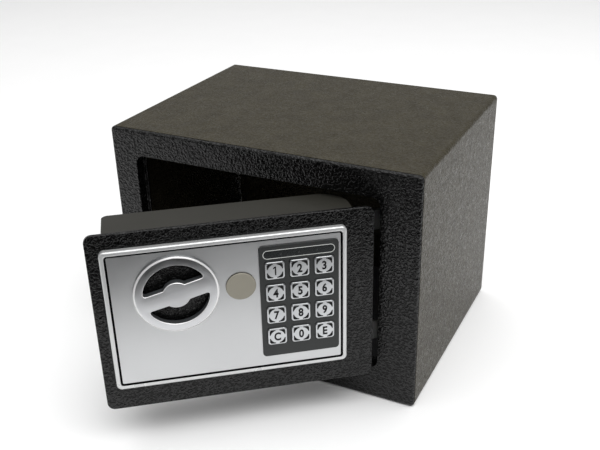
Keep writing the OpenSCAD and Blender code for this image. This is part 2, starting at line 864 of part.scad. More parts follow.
// Open coil spring between the solenoid's top and the plunger's collar, swept as one tube.
module plunger_spring() {
    turns = 4;
    steps = 14 * turns;
    sides = 6;
    mid_r = plunger_r + 1.1;
    z0 = coil_z1 + frame_t + spring_wire + hair;
    rise = collar_z - coil_z1 - frame_t - 2 * spring_wire - 2 * hair;
    ring = [for (i = [0:steps]) for (j = [0:sides - 1])
        let (a = 360 * turns * i / steps, b = 360 * j / sides, r = mid_r + spring_wire * cos(b))
        [r * cos(a), r * sin(a), z0 + rise * i / steps + spring_wire * sin(b)]];
    wall = [for (i = [0:steps - 1]) for (j = [0:sides - 1])
        let (k = (j + 1) % sides, n = i * sides)
        [n + j, n + sides + j, n + sides + k, n + k]];
    split = [for (q = wall) each [[q[0], q[1], q[2]], [q[0], q[2], q[3]]]];
    first = [for (j = [0:sides - 1]) j];
    last = [for (j = [sides - 1:-1:0]) steps * sides + j];
    color(zinc)
        on_door()
            translate([coil_s, bolt_depth, 0])
                polyhedron(points = ring, faces = concat(split, [first, last]));
}

module battery_box() {
    color(moulded_black)
        on_door()
            difference() {
                block(box_s0, box_s1, box_d0, pan_d1 - hair, box_z0, box_z0 + box_h);
                block(box_s0 + box_t, box_s1 - box_t, box_d0 + box_t, pan_d1 + cut, box_z0 + box_t,
                    box_z0 + box_h - box_t);
            }
}

module batteries() {
    cap_len = 1;
    s0 = box_s0 + box_t + 1.5;
    color([0.30, 0.42, 0.62])
        on_door()
            for (i = [0:3]) {
                z = box_z0 + box_t + cell_pitch * (i + 0.5);
                flip = i % 2;
                bar_x(s0 + (1 - flip) * cap_len, s0 + cell_len - flip * cap_len, cell_d, z, cell_r);
                bar_x(flip > 0 ? s0 + cell_len - cap_len : s0, flip > 0 ? s0 + cell_len : s0 + cap_len,
                    cell_d, z, cell_r * 0.38);
            }
}

module battery_contacts() {
    leaf_t = 0.4;
    reach = 1.35;
    color(zinc)
        on_door()
            for (i = [0:3]) {
                z = box_z0 + box_t + cell_pitch * (i + 0.5);
                translate([box_s0 + box_t, cell_d - 4, z - 4])
                    cube([leaf_t, 8, 8]);
                bar_x(box_s0 + box_t + leaf_t, box_s0 + box_t + reach, cell_d, z, 2);
                translate([box_s1 - box_t - leaf_t, cell_d - 4, z - 4])
                    cube([leaf_t, 8, 8]);
                bar_x(box_s1 - box_t - reach, box_s1 - box_t - leaf_t, cell_d, z, 2);
            }
}

module lock_housing() {
    color(zinc)
        on_door()
            difference() {
                union() {
                    peg(lock_s, lock_z, lock_front, 0, cap_plug_r - 0.3);
                    peg(lock_s, lock_z, 0, lock_depth, lock_r);
                }
                peg(lock_s, lock_z, lock_front - cut, lock_depth + cut, core_r + running);
            }
}

module lock_nut() {
    color(zinc)
        on_door()
            translate([lock_s, plate_t + 3, lock_z])
                rotate([90, 30, 0])
                    difference() {
                        cylinder(r = lock_r + 2.6, h = 3, $fn = 6);
                        translate([0, 0, -cut])
                            cylinder(r = lock_r + running, h = 3 + 2 * cut);
                    }
}

module guide_studs() {
    head_t = 1.2;
    color(zinc)
        on_door()
            for (p = [stud_a, stud_b]) {
                peg(p[0], p[1], plate_t, web_d0 - 0.3, stud_r + 1.4);
                peg(p[0], p[1], web_d0 - 0.3, web_d1 + 0.3, stud_r);
                peg(p[0], p[1], web_d1 + 0.3, web_d1 + 0.3 + head_t, stud_r + 1.4);
            }
}

module knob_bush() {
    color([0.55, 0.45, 0.25])
        on_door()
            difference() {
                union() {
                    peg(knob_s, knob_z, 0.2, plate_t, bush_r);
                    peg(knob_s, knob_z, plate_t, plate_t + 1.5, bush_r + 2);
                }
                peg(knob_s, knob_z, -cut, plate_t + 1.5 + cut, shaft_r + running);
            }
}

// One lead: round-ended straight runs between points.
module lead(points) {
    lead_r = 0.6;
    for (i = [0:len(points) - 2])
        hull()
            for (p = [points[i], points[i + 1]])
                translate(p)
                    sphere(lead_r, $fn = 12);
}

// Leads of the battery box and of the solenoid, both to the plug on the control board.
module wiring() {
    lead_gap = 0.7;
    plug_s = control_s0 + 8;
    plug_d = control_d0 + control_t + 6 + lead_gap;
    plug_z = control_z0 + 9.5;
    low_z = box_z0 + box_h + lead_gap;
    color([0.65, 0.12, 0.10])
        on_door() {
            lead([[plug_s, plug_d, plug_z], [plug_s, box_d0 + 4, plug_z], [plug_s, box_d0 + 4, low_z]]);
            lead([[plug_s + 3, plug_d, plug_z], [plug_s + 3, box_d0 + 10, low_z]]);
            lead([[plug_s - 1, plug_d - 5, plug_z + 3.6], [control_s0 - 3, plug_d - 5, plug_z + 3.6],
                [control_s0 - 3, plate_t + 8, coil_z1 + 16], [coil_s + 12, plate_t + 8, coil_z1 + 16],
                [coil_s + 12, plate_t + 8, coil_z0 + 4],
                [coil_s + 3, bolt_depth - coil_r - 1.2, coil_z0 + 4]]);
        }
}

module knob() {
    color(satin)
        on_door()
            translate([knob_s, knob_back, knob_z])
                rotate([90, 0, 0]) {
                    depth = knob_back - knob_face;
                    ring_t = panel_front - 0.3 - knob_face;
                    bevel = 0.9;
                    difference() {
                        union() {
                            translate([0, 0, depth - ring_t])
                                cylinder(r = knob_r, h = ring_t - bevel);
                            translate([0, 0, depth - bevel])
                                cylinder(r1 = knob_r, r2 = knob_r - bevel, h = bevel);
                            cylinder(r = collar_r, h = depth);
                        }
                        translate([0, 0, -cut])
                            difference() {
                                cylinder(r = knob_in_r, h = depth + 2 * cut);
                                cylinder(r = boss_r, h = depth + 2 * cut);
                                rotate(bar_tilt)
                                    translate([-knob_r, -bar_w / 2, 0])
                                        cube([2 * knob_r, bar_w, depth + 2 * cut]);
                            }
                        translate([0, 0, -cut])
                            cylinder(r = shaft_r + 0.02, h = 3 + cut);
                    }
                }
}

module knob_shaft() {
    color(zinc)
        on_door()
            peg(knob_s, knob_z, knob_back - 2.9, shaft_end, shaft_r);
}

module knob_cam() {
    hub_r = shaft_r + 2.6;
    end_r = crank_pin_r + 1.5;
    color(zinc)
        on_door()
            translate([knob_s, cam_d1, knob_z])
                rotate([90, 0, 0])
                    difference() {
                        union() {
                            cylinder(r = hub_r, h = cam_d1 - cam_d0);
                            rotate(crank_start) {
                                translate([0, -end_r, 0])
                                    cube([crank_r, 2 * end_r, cam_arm_t]);
                                translate([crank_r, 0, 0])
                                    cylinder(r = end_r, h = cam_arm_t);
                                translate([crank_r, 0, cam_d1 - web_d1 - 1.5])
                                    cylinder(r = crank_pin_r, h = web_d1 + 1.5 - cam_d1 + cam_arm_t);
                            }
                        }
                        translate([0, 0, -cut])
                            cylinder(r = shaft_r + 0.02, h = cam_d1 - cam_d0 + 2 * cut);
                    }
}

module shaft_clip() {
    color(moulded_black)
        on_door()
            difference() {
                peg(knob_s, knob_z, cam_d1 + hair, cam_d1 + 1.2, shaft_r + 1.8);
                peg(knob_s, knob_z, cam_d1 - cut, cam_d1 + 2 + cut, shaft_r + 0.02);
            }
}

// Slot along the width in which a stud stays while the carriage moves by the throw.
module stud_slot(p) {
    slot_r = stud_r + slide_gap;
    slab(p[0] - slot_r, p[0] + throw + slot_r, p[1] - slot_r, p[1] + slot_r, web_d0 - cut,
        web_d1 + cut, slot_r - 0.05);
}

module bolt_carriage() {
    pin_s = knob_s + crank_r * cos(crank_start);
    slot_w = crank_pin_r + slide_gap;
    color(zinc)
        on_door()
            difference() {
                union() {
                    block(bolt_s1, web_s0, bolt_depth - bolt_r, bolt_depth + bolt_r,
                        bolt_zs[0] - bolt_r, bolt_zs[1] + bolt_r);
                    block(web_s0 - hair, web_s1, web_d0, web_d1, web_z0, web_mid_z);
                    block(web_s0 - hair, web_up_s1, web_d0, web_d1, web_z0, web_z1);
                }
                slab(pin_s - slot_w, pin_s + slot_w, knob_z + crank_r * sin(crank_start) - crank_pin_r - 1,
                    knob_z + crank_r + crank_pin_r + 1, web_d0 - cut, web_d1 + cut, slot_w - 0.05);
                stud_slot(stud_a);
                stud_slot(stud_b);
                for (z = bolt_zs) {
                    bar_x(bolt_s1 - cut, web_s0 + cut, bolt_depth, z, 2.6);
                    block(web_s0, web_s0 + screw_head_t + cut, web_d0 - cut, web_d1 + cut, z - 4.5, z + 4.5);
                }
            }
}

module live_bolts() {
    chamfer = 1;
    color([0.80, 0.81, 0.82])
        on_door()
            for (z = bolt_zs)
                difference() {
                    union() {
                        bar_x(bolt_s0 + chamfer, bolt_s1, bolt_depth, z, bolt_r);
                        translate([bolt_s0, bolt_depth, z])
                            rotate([0, 90, 0])
                                cylinder(r1 = bolt_r - chamfer, r2 = bolt_r, h = chamfer);
                    }
                    bar_x(bolt_s1 - 10, bolt_s1 + cut, bolt_depth, z, 2.3);
                }
}

module bolt_screws() {
    color(zinc)
        on_door()
            for (z = bolt_zs) {
                bar_x(bolt_s1 - 9, web_s0, bolt_depth, z, 2.2);
                bar_x(web_s0, web_s0 + screw_head_t, bolt_depth, z, 4);
            }
}

module plunger() {
    color(zinc)
        on_door() {
            post(coil_s, bolt_depth, coil_z0 + 6, plunger_top, plunger_r);
            post(coil_s, bolt_depth, collar_z, collar_z + 1, plunger_r + 1.8);
        }
}

module lock_plug() {
    key_w_slot = 1.2;
    color([0.72, 0.62, 0.38])
        on_door()
            difference() {
                peg(lock_s, lock_z, lock_front, lock_depth + 0.4, core_r);
                block(lock_s - key_w_slot / 2, lock_s + key_w_slot / 2, lock_front - cut, lock_depth - 3,
                    lock_z - 3.4, lock_z + 3.4);
            }
}

module lock_cam() {
    lever = 12;
    half = 3.5;
    d0 = lock_depth + 0.4;
    color(zinc)
        on_door() {
            block(lock_s - half, lock_s + half, d0, d0 + 2, lock_z, lock_z + lever);
            peg(lock_s, lock_z, d0, d0 + 2, core_r + 0.2);
        }
}

module lock_cap() {
    color([0.66, 0.64, 0.59])
        on_door()
            difference() {
                union() {
                    peg(lock_s, lock_z, panel_front - cap_proud, panel_front - seat, cap_r);
                    peg(lock_s, lock_z, panel_front - cap_proud, -tray_t - 0.5, cap_plug_r);
                }
                peg(lock_s, lock_z, panel_front, 0, cap_plug_r - 1.4);
            }
}

// One key: a cap through the overlay, a flange behind it and a stem into its switch.
module key(column, row) {
    color([0.75, 0.76, 0.77])
        on_door()
            translate([col_s0 + column * col_pitch, 0, keyrow_z0 + row * row_pitch]) {
                slab(-key_w / 2, key_w / 2, -key_h / 2, key_h / 2, key_face, flange_front, key_r);
                slab(-key_w / 2 - key_flange, key_w / 2 + key_flange, -key_h / 2 - key_flange,
                    key_h / 2 + key_flange, flange_front, flange_back, key_r);
                peg(0, 0, flange_back, stem_tip, stem_r, $fn = 24);
            }
}

module key_1() { key(0, 3); }
module key_2() { key(1, 3); }
module key_3() { key(2, 3); }
module key_4() { key(0, 2); }
module key_5() { key(1, 2); }
module key_6() { key(2, 2); }
module key_7() { key(0, 1); }
module key_8() { key(1, 1); }
module key_9() { key(2, 1); }
module key_c() { key(0, 0); }
module key_0() { key(1, 0); }
module key_e() { key(2, 0); }

module reset_button() {
    tip = control_d0 + control_t + reset_switch - 1.6;
    color([0.75, 0.10, 0.08])
        on_door() {
            peg(reset_s, reset_z, pan_d1 - 2, cover_d1 + 1.4, reset_r);
            peg(reset_s, reset_z, pan_d1 - 2, pan_d1 - 0.6, reset_r + 1.6);
            peg(reset_s, reset_z, tip, pan_d1 - 2, stem_r);
        }
}

module battery_cover() {
    lap = 1.5;
    color(moulded_black)
        on_door() {
            slab(box_s0 + lap, box_s1 - lap, box_z0 + lap, box_z0 + box_h - lap, cover_d1,
                cover_d1 + 1.4, 2.5);
            slab(box_s0 + 3.3, box_s1 - 3.3, box_z0 + 3.3, box_z0 + box_h - 3.3, pan_d1 - 0.8,
                cover_d1, 1.7);
        }
}

case_wrap();
back_panel();
front_frame();
floor_mat();
hinge_bracket_upper();
hinge_bracket_lower();
hinge_pins();
door_plate();
door_pan();
hinge_arm_upper();
hinge_arm_lower();
pan_cover();
cover_screws();
bezel();
panel_plate();
panel_screws();
keypad_overlay();
led_window();
keypad_board();
tact_switches();
status_leds();
control_board();
board_standoffs();
solenoid_frame();
solenoid_coil();
plunger_spring();
battery_box();
batteries();
battery_contacts();
lock_housing();
lock_nut();
guide_studs();
knob_bush();
wiring();
knob();
knob_shaft();
knob_cam();
shaft_clip();
bolt_carriage();
live_bolts();
bolt_screws();
plunger();
lock_plug();
lock_cam();
lock_cap();
reset_button();
battery_cover();
key_1();
key_2();
key_3();
key_4();
key_5();
key_6();
key_7();
key_8();
key_9();
key_c();
key_0();
key_e();
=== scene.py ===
# %% [markdown]
# An electronic safe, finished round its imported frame.
# The frame holds every piece of the safe at its real size and place, as plain solids. This lesson
# gives each of them its finish, and puts a finer surface in place of those whose real form has
# crowned, rolled or printed detail. Nothing is fitted by eye: a piece takes its place from the
# solid that it stands for. The frame, the camera and the studio are in metres. The small sizes
# that are typed here for the safe's own pieces are in millimetres, so they are multiplied by MM.

# %% Load the frame
import json
import math

import bmesh
import bpy
import numpy as np
from mathutils import Matrix, Vector

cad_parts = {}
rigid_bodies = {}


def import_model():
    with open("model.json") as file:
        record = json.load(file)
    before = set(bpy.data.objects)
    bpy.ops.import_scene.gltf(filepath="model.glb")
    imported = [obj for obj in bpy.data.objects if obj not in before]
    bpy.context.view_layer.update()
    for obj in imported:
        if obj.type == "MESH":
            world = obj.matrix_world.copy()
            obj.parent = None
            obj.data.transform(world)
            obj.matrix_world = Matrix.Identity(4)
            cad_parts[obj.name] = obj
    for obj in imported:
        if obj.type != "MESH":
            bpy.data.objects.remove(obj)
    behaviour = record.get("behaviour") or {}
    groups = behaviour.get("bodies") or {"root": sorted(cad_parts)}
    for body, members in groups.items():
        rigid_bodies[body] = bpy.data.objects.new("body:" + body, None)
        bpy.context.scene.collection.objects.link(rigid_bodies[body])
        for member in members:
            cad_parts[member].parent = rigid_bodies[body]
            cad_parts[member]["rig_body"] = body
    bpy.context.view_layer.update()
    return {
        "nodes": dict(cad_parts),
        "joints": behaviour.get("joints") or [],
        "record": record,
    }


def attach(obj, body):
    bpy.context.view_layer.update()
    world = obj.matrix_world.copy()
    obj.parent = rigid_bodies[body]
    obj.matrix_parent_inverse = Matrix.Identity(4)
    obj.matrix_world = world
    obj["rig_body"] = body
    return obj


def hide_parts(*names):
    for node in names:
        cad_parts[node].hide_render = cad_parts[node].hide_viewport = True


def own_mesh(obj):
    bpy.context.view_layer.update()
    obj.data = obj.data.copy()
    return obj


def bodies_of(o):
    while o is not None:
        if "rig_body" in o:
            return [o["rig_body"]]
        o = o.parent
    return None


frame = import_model()
joints = {joint["name"]: joint for joint in frame["joints"]}
MM = 0.001

# %% [markdown]
# The door stands open, so its pieces are turned and a box along X, Y and Z says little about
# them. They are easier to think of in the door's own directions: along the plate from its free
# edge (s), into the door from the plate's front (d), and height (z), all in millimetres. The
# hinge's pin and the angle at which the door is shut come from the joint, so the mapping holds
# if the door is left at another angle.

# %% The door's own directions
door_angle = -math.radians(joints["door_hinge"]["range_deg"][0])
hinge_pin = np.array(joints["door_hinge"]["pos_m"])
door_turn = np.array(Matrix.Rotation(door_angle, 3, "Z"))
outward = door_turn @ np.array([0.0, -1.0, 0.0])


def mesh_points(mesh):
    """Every corner of a mesh, as an array with three columns."""
    flat = np.empty(3 * len(mesh.vertices))
    mesh.vertices.foreach_get("co", flat)
    return flat.reshape(-1, 3)


def node_points(node):
    """Every corner of a solid's mesh, in metres."""
    return mesh_points(frame["nodes"][node].data)


def shut(points):
    """Points of the open door where they would lie with the door shut: turned back round the pin."""
    return (points - hinge_pin) @ door_turn + hinge_pin


door_zero = shut(node_points("door_plate")).min(axis=0) * [1, 1, 0]


def at_door(points):
    """Points given as (s, d, z) in millimetres, as metres in the frame."""
    shut_points = np.asarray(points) * MM + door_zero
    return (shut_points - hinge_pin) @ door_turn.T + hinge_pin


def to_door(points):
    """The other way round: points of the frame, in metres, as (s, d, z) in millimetres."""
    return (shut(points) - door_zero) / MM


def door_box(node):
    """Lowest and highest (s, d, z) of a door piece, in millimetres."""
    local = to_door(node_points(node))
    return local.min(axis=0), local.max(axis=0)


plate_low, plate_high = door_box("door_plate")
print("door stands open by", round(math.degrees(door_angle), 1), "degrees")
print("door plate (s, d, z):", plate_low.round(2), plate_high.round(2))

# %% [markdown]
# The camera comes first, because every later choice is judged through it. It looks down at the
# safe from beyond its front right corner, a little more than a third of a metre above the table,
# through a lens of about 50 mm. A slight roll of the camera leans the upright edges as a
# hand-held camera does. The three directions of the camera are worked out from yaw, pitch and
# roll and written into its matrix, which is plainer than three Euler angles in the right order.

# %% Camera
def in_scene(name, data):
    """A new object with its data, linked to the scene."""
    thing = bpy.data.objects.new(name, data)
    bpy.context.scene.collection.objects.link(thing)
    return thing


camera_place = [0.2571, -0.5258, 0.3679]
camera_lens = 50.68
yaw, pitch, roll = np.radians([-27.00, 26.41, -1.47])

ahead = np.array([np.sin(yaw) * np.cos(pitch), np.cos(yaw) * np.cos(pitch), -np.sin(pitch)])
level_right = np.array([np.cos(yaw), -np.sin(yaw), 0.0])
level_up = np.cross(level_right, ahead)
camera_right = np.cos(roll) * level_right + np.sin(roll) * level_up
camera_up = -np.sin(roll) * level_right + np.cos(roll) * level_up

camera = in_scene("camera", bpy.data.cameras.new("camera"))
camera.data.lens = camera_lens
camera.data.sensor_width = 36
camera.data.dof.use_dof = False
axes = np.stack([camera_right, camera_up, -ahead], axis=1)
camera.matrix_world = Matrix.Translation(camera_place) @ Matrix(axes.tolist()).to_4x4()
bpy.context.scene.camera = camera
print("camera at", camera_place, "looks along", ahead.round(3))

# %% [markdown]
# A white floor in a small white studio, with a wide softbox above the safe and a smaller one in
# front of it. Satin metal shows whatever stands before it, so a photographer lays a black card,
# called a flag, in front of such a thing, just outside the picture, and lets it rise beyond. The
# panel is then bright at its foot, where it mirrors the floor, and grey at its top, where it
# mirrors the flag, and the front's black paint stays black. The flag works on reflections alone:
# like the softboxes it isn't seen itself, and it takes no light from the floor.
#
# The floor is one square, a hair below the safe, so that no two faces share a plane. The flag is
# a grid of points in rows and columns, and so are most of the surfaces further down, so the
# helper that names the squares between such points comes here.

# %% Studio
bpy.context.scene.view_settings.view_transform = "Standard"
room_light = 0.42

world = bpy.data.worlds.new("room")
world.use_nodes = True
world.node_tree.nodes["Background"].inputs["Color"].default_value = (1, 1, 1, 1)
world.node_tree.nodes["Background"].inputs["Strength"].default_value = room_light
bpy.context.scene.world = world


def softbox(name, place, aim, size, watts):
    """A rectangular area lamp at one point that shines at another."""
    lamp = bpy.data.lights.new(name, "AREA")
    lamp.shape = "RECTANGLE"
    lamp.size, lamp.size_y = size
    lamp.energy = watts
    holder = in_scene(name, lamp)
    turned = (Vector(aim) - Vector(place)).to_track_quat("-Z", "Y").to_matrix().to_4x4()
    holder.matrix_world = Matrix.Translation(place) @ turned
    holder.visible_camera = False


softbox("overhead", [0.0, 0.05, 1.8], [0.0, 0.05, 0.0], (3.0, 2.4), 30)
softbox("front", [0.65, -0.45, 1.3], [0.05, -0.1, 0.0], (1.6, 1.2), 11)
print("room light", room_light, "and two softboxes")

# %% Floor
floor_half = 5.0
floor_drop = 0.02 * MM

floor_mesh = bpy.data.meshes.new("floor")
floor_corners = np.array([[-1, -1, 0], [1, -1, 0], [1, 1, 0], [-1, 1, 0]]) * floor_half
floor_mesh.from_pydata((floor_corners - [0, 0, floor_drop]).tolist(), [], [(0, 1, 2, 3)])
floor = in_scene("floor", floor_mesh)
print("floor:", 2 * floor_half, "m square")


# %% Faces of a grid
def grid_faces(rows, columns, rows_meet=False, columns_meet=False):
    """The squares between the points of a grid; a direction that meets itself is closed."""
    row = np.arange(rows if rows_meet else rows - 1)[:, None]
    column = np.arange(columns if columns_meet else columns - 1)[None, :]
    next_row, next_column = (row + 1) % rows, (column + 1) % columns
    corners = [row * columns + column, row * columns + next_column,
               next_row * columns + next_column, next_row * columns + column]
    return np.stack(corners, axis=-1).reshape(-1, 4)


print("a grid of 3 by 4 points has", len(grid_faces(3, 4)), "squares")

# %% Flag
view_line = np.array([np.sin(yaw), np.cos(yaw), 0.0])
upwards = np.array([0.0, 0.0, 1.0])
picture_foot = np.array([0.067, -0.153, 0.0])
flag_start = 0.16
flag_flat = 0.9
flag_bend = 1.2
flag_half_width = 2.0
flag_lift = 0.001

# How far in front of the picture, and how high: flat on the floor, then a quarter circle up.
bend = np.linspace(0, math.pi / 2, 13)
before = np.concatenate([[flag_start], flag_start + flag_flat + flag_bend * np.sin(bend)])
height = flag_lift + np.concatenate([[0], flag_bend * (1 - np.cos(bend))])
sideways = np.linspace(-flag_half_width, flag_half_width, 9)
flag_points = (picture_foot - before[:, None, None] * view_line
               + sideways[None, :, None] * level_right + height[:, None, None] * upwards)

flag_mesh = bpy.data.meshes.new("flag")
flag_mesh.from_pydata(flag_points.reshape(-1, 3).tolist(), [],
                      grid_faces(len(before), len(sideways)).tolist())
flag = in_scene("flag", flag_mesh)
flag.visible_camera = flag.visible_diffuse = flag.visible_shadow = False
print("flag starts", flag_start, "m in front of the picture and is", round(height[-1], 2), "m high")

# %% [markdown]
# Every finish starts from the same two things: a colour, written as it looks on a screen and
# turned into the linear values that a shader takes, and patterns that are fixed to the object.
# Object coordinates are metres here, so a Mapping node of the Texture kind can be given the size
# of a pattern's cell directly, and a metal's pattern on the door is turned with the door as well.

# %% Colours and shaders
finishes = {}


def screen(red, green, blue):
    """A colour from 0 to 255 as it looks on a screen, as linear red, green, blue and opacity.

    That is the sRGB curve: a straight line for the darkest tones, and about the power of 2.2
    above them."""
    share = np.array([red, green, blue]) / 255
    bend = np.where(share <= 0.04045, share / 12.92, ((share + 0.055) / 1.055) ** 2.4)
    return (*bend.tolist(), 1.0)


def shader_of(finish):
    """The Principled shader of a finish."""
    return finish.node_tree.nodes["Principled BSDF"]


def new_finish(name, colour, roughness, metallic=0.0, **sockets):
    """A Principled material, kept by its name, with its constants set on the shader's sockets."""
    finish = bpy.data.materials.new(name)
    finish.use_nodes = True
    constants = {"Base Color": colour, "Roughness": roughness, "Metallic": metallic, **sockets}
    for socket, value in constants.items():
        shader_of(finish).inputs[socket.replace("_", " ")].default_value = value
    finishes[name] = finish
    return finish


print("mid grey on a screen is", round(screen(128, 128, 128)[0], 3), "in linear light")


# %% Patterns
def add_node(finish, kind, settings=(), **sockets):
    """A new node of a kind, with its settings and its unlinked sockets filled in."""
    node = finish.node_tree.nodes.new("ShaderNode" + kind)
    for setting, value in dict(settings).items():
        setattr(node, setting, value)
    for socket, value in sockets.items():
        node.inputs[socket.replace("_", " ")].default_value = value
    return node


def join(finish, start, end):
    """Links one node's output socket to another's input socket."""
    finish.node_tree.links.new(start, end)


def cells(finish, size, turned=0.0):
    """Object coordinates counted in cells of a size in millimetres along each direction."""
    place = add_node(finish, "TexCoord")
    scale = np.broadcast_to(np.asarray(size, float), 3) * MM
    mapping = add_node(finish, "Mapping", {"vector_type": "TEXTURE"}, Scale=scale.tolist(),
                       Rotation=(0, 0, turned))
    join(finish, place.outputs["Object"], mapping.inputs["Vector"])
    return mapping.outputs["Vector"]


def noise(finish, size, turned=0.0, detail=2.0, distortion=0.0):
    """Soft noise from 0 to 1 whose blotches are about size millimetres wide."""
    texture = add_node(finish, "TexNoise", Scale=1.0, Detail=detail, Distortion=distortion)
    join(finish, cells(finish, size, turned), texture.inputs["Vector"])
    return texture.outputs["Fac"]


def spread_over(finish, value, low, high, start=0.3, stop=0.7):
    """A value stretched so that its run from start to stop goes from low to high."""
    ranged = add_node(finish, "MapRange", From_Min=start, From_Max=stop, To_Min=low, To_Max=high)
    join(finish, value, ranged.inputs["Value"])
    return ranged.outputs["Result"]


print("patterns: noise in cells of millimetres")


# %% What a pattern sets
def drive(finish, value, socket):
    """Lets a pattern set one of the shader's sockets."""
    join(finish, value, shader_of(finish).inputs[socket])


def two_tone(finish, value, low_colour, high_colour):
    """Base colour that goes from one tone to another with a pattern."""
    mix = add_node(finish, "Mix", {"data_type": "RGBA"})
    colour_in = [socket for socket in mix.inputs if socket.type == "RGBA"]
    colour_in[0].default_value = low_colour
    colour_in[1].default_value = high_colour
    join(finish, value, mix.inputs["Factor"])
    colour_out = [socket for socket in mix.outputs if socket.type == "RGBA"][0]
    drive(finish, colour_out, "Base Color")


def relief(finish, value, height):
    """Raises the surface by a pattern, up to height millimetres, on top of any earlier relief."""
    normal = shader_of(finish).inputs["Normal"]
    bump = add_node(finish, "Bump", Distance=height * MM)
    join(finish, value, bump.inputs["Height"])
    if normal.links:
        join(finish, normal.links[0].from_socket, bump.inputs["Normal"])
    join(finish, bump.outputs["Normal"], normal)


floor_finish = new_finish("white_floor", screen(251, 251, 251), 0.9)
two_tone(floor_finish, noise(floor_finish, 60), screen(250, 250, 250), screen(253, 253, 253))
floor.data.materials.append(floor_finish)
flag_finish = new_finish("flag_black", screen(14, 14, 14), 1.0, Specular_IOR_Level=0.0)
two_tone(flag_finish, noise(flag_finish, 40), screen(13, 13, 13), screen(16, 16, 16))
flag.data.materials.append(flag_finish)
print("helpers ready; the floor and the flag have their finish")

# %% [markdown]
# Powder coat is sprayed as a dry powder and baked, and on cheap steel it is given a coarse
# wrinkle that hides dents: rounded worm-like hills about a millimetre and a half apart. The paint
# is one colour all over, and what shows the hills is gloss: each slope mirrors another part of
# the room, so they stand out where light and dark meet in the reflection and vanish where it is
# even. So the pattern is a relief: a noise, twisted a little so that its hills run on like worms,
# and steepened so that they have flat tops. The valleys gather dust and mirror a little less.

# %% Painted finishes
def powder_coat(name, dark, light, roughness, cell, height, gloss):
    """Baked wrinkle paint: worm-like hills whose gloss goes from gloss[0] low to gloss[1] on top.

    cell is the width of a hill and height its rise, both in millimetres."""
    tone_patch, roughness_patch = 14, 5
    finish = new_finish(name, dark, roughness)
    two_tone(finish, spread_over(finish, noise(finish, tone_patch), 0, 1), dark, light)
    drive(finish, spread_over(finish, noise(finish, roughness_patch), roughness - 0.05,
                              roughness + 0.08), "Roughness")
    hills = spread_over(finish, noise(finish, cell, detail=0.3, distortion=0.7), 0, 1, 0.34, 0.66)
    hills.node.interpolation_type = "SMOOTHSTEP"
    relief(finish, hills, height)
    relief(finish, noise(finish, cell / 4, detail=1.0), height / 8)
    drive(finish, spread_over(finish, hills, gloss[0], gloss[1], 0, 1), "Specular IOR Level")


# Painted sheen: this warm grey stands for what the case's top and sides reflect; its paint is black.
powder_coat("case_powder_coat", screen(52, 48, 37), screen(60, 56, 44), roughness=0.3,
            cell=1.5, height=0.34, gloss=(0.06, 0.18))
powder_coat("front_powder_coat", screen(4, 4, 4), screen(7, 7, 7), roughness=0.19,
            cell=1.7, height=0.32, gloss=(0.22, 0.42))
powder_coat("door_powder_coat", screen(4, 4, 4), screen(7, 7, 7), roughness=0.19,
            cell=1.45, height=0.26, gloss=(0.22, 0.42))

pan_paint = new_finish("pan_paint", screen(42, 41, 36), 0.5, Specular_IOR_Level=0.3)
two_tone(pan_paint, noise(pan_paint, 30), screen(38, 37, 32), screen(46, 45, 40))
relief(pan_paint, noise(pan_paint, 0.8), 0.02)

felt = new_finish("felt", screen(46, 46, 50), 1.0, Sheen_Weight=0.3, Sheen_Roughness=0.6)
two_tone(felt, noise(felt, 1.2, detail=4), screen(38, 38, 42), screen(56, 56, 60))
relief(felt, noise(felt, 0.6, detail=3), 0.25)
print("painted finishes and felt:", sorted(finishes))

# %% [markdown]
# The metals. Zinc plating is a soft grey with faint clouds, the bolts are turned bright steel,
# and the satin panel is a fine even grain that blurs what it mirrors. Each is a metallic shader
# whose roughness varies a little, because an even roughness looks like plastic. The surround's
# plating is only part metal, so that it stays light where it mirrors something dark, and the
# knob's chamfers carry a painted highlight: a lighter finish, also part metal, for the same reason.

# %% Metals
def plated(name, tone, roughness, unevenness, cloud, grain_size, grain_height, turned=0.0,
           metallic=1.0):
    """A metal with clouds of slightly different roughness and a fine grain."""
    finish = new_finish(name, tone, roughness, metallic)
    clouds = noise(finish, cloud, turned, detail=3)
    drive(finish, spread_over(finish, clouds, roughness - unevenness, roughness + unevenness),
          "Roughness")
    two_tone(finish, clouds, tuple(0.93 * t for t in tone[:3]) + (1,), tone)
    relief(finish, noise(finish, grain_size, turned), grain_height)


# Name, tone, roughness and its unevenness, the clouds' size, the grain's size and height in
# millimetres, and the angle that the pattern is turned by.
plated("zinc_steel", screen(196, 196, 194), 0.36, 0.08, 6, 0.5, 0.01)
plated("bolt_steel", screen(214, 215, 217), 0.36, 0.06, 9, 0.4, 0.01)
plated("satin_silver", screen(206, 207, 208), 0.36, 0.03, 25, 0.22, 0.008, door_angle)
plated("bright_trim", screen(208, 209, 209), 0.3, 0.03, 20, 0.5, 0.002, door_angle, metallic=0.55)
plated("knob_silver", screen(208, 209, 211), 0.32, 0.03, 12, 0.22, 0.006, door_angle)
# Painted highlight: the knob's chamfers get this lighter finish, so they show as light lines.
plated("edge_highlight_paint", screen(236, 236, 236), 0.4, 0.05, 8, 0.3, 0.004, door_angle, metallic=0.5)
plated("key_silver", screen(206, 208, 210), 0.36, 0.03, 8, 0.2, 0.006, door_angle)
plated("lock_brass", screen(206, 176, 110), 0.3, 0.06, 4, 0.3, 0.006, door_angle)
print("finishes so far:", len(finishes))

# %% [markdown]
# The plastics, the boards and the leads. A moulded part has a fine spark-eroded grain from its
# tool. The overlay is a printed film, the window is the same film left clear over a dark tint
# with a line printed round it, and the cap is a warm grey moulding. A circuit board is green
# lacquer over copper, so it is slightly uneven, and the enamel on the coil's wire is copper red.
# They differ in tone, gloss and grain only, so all of them share one helper.

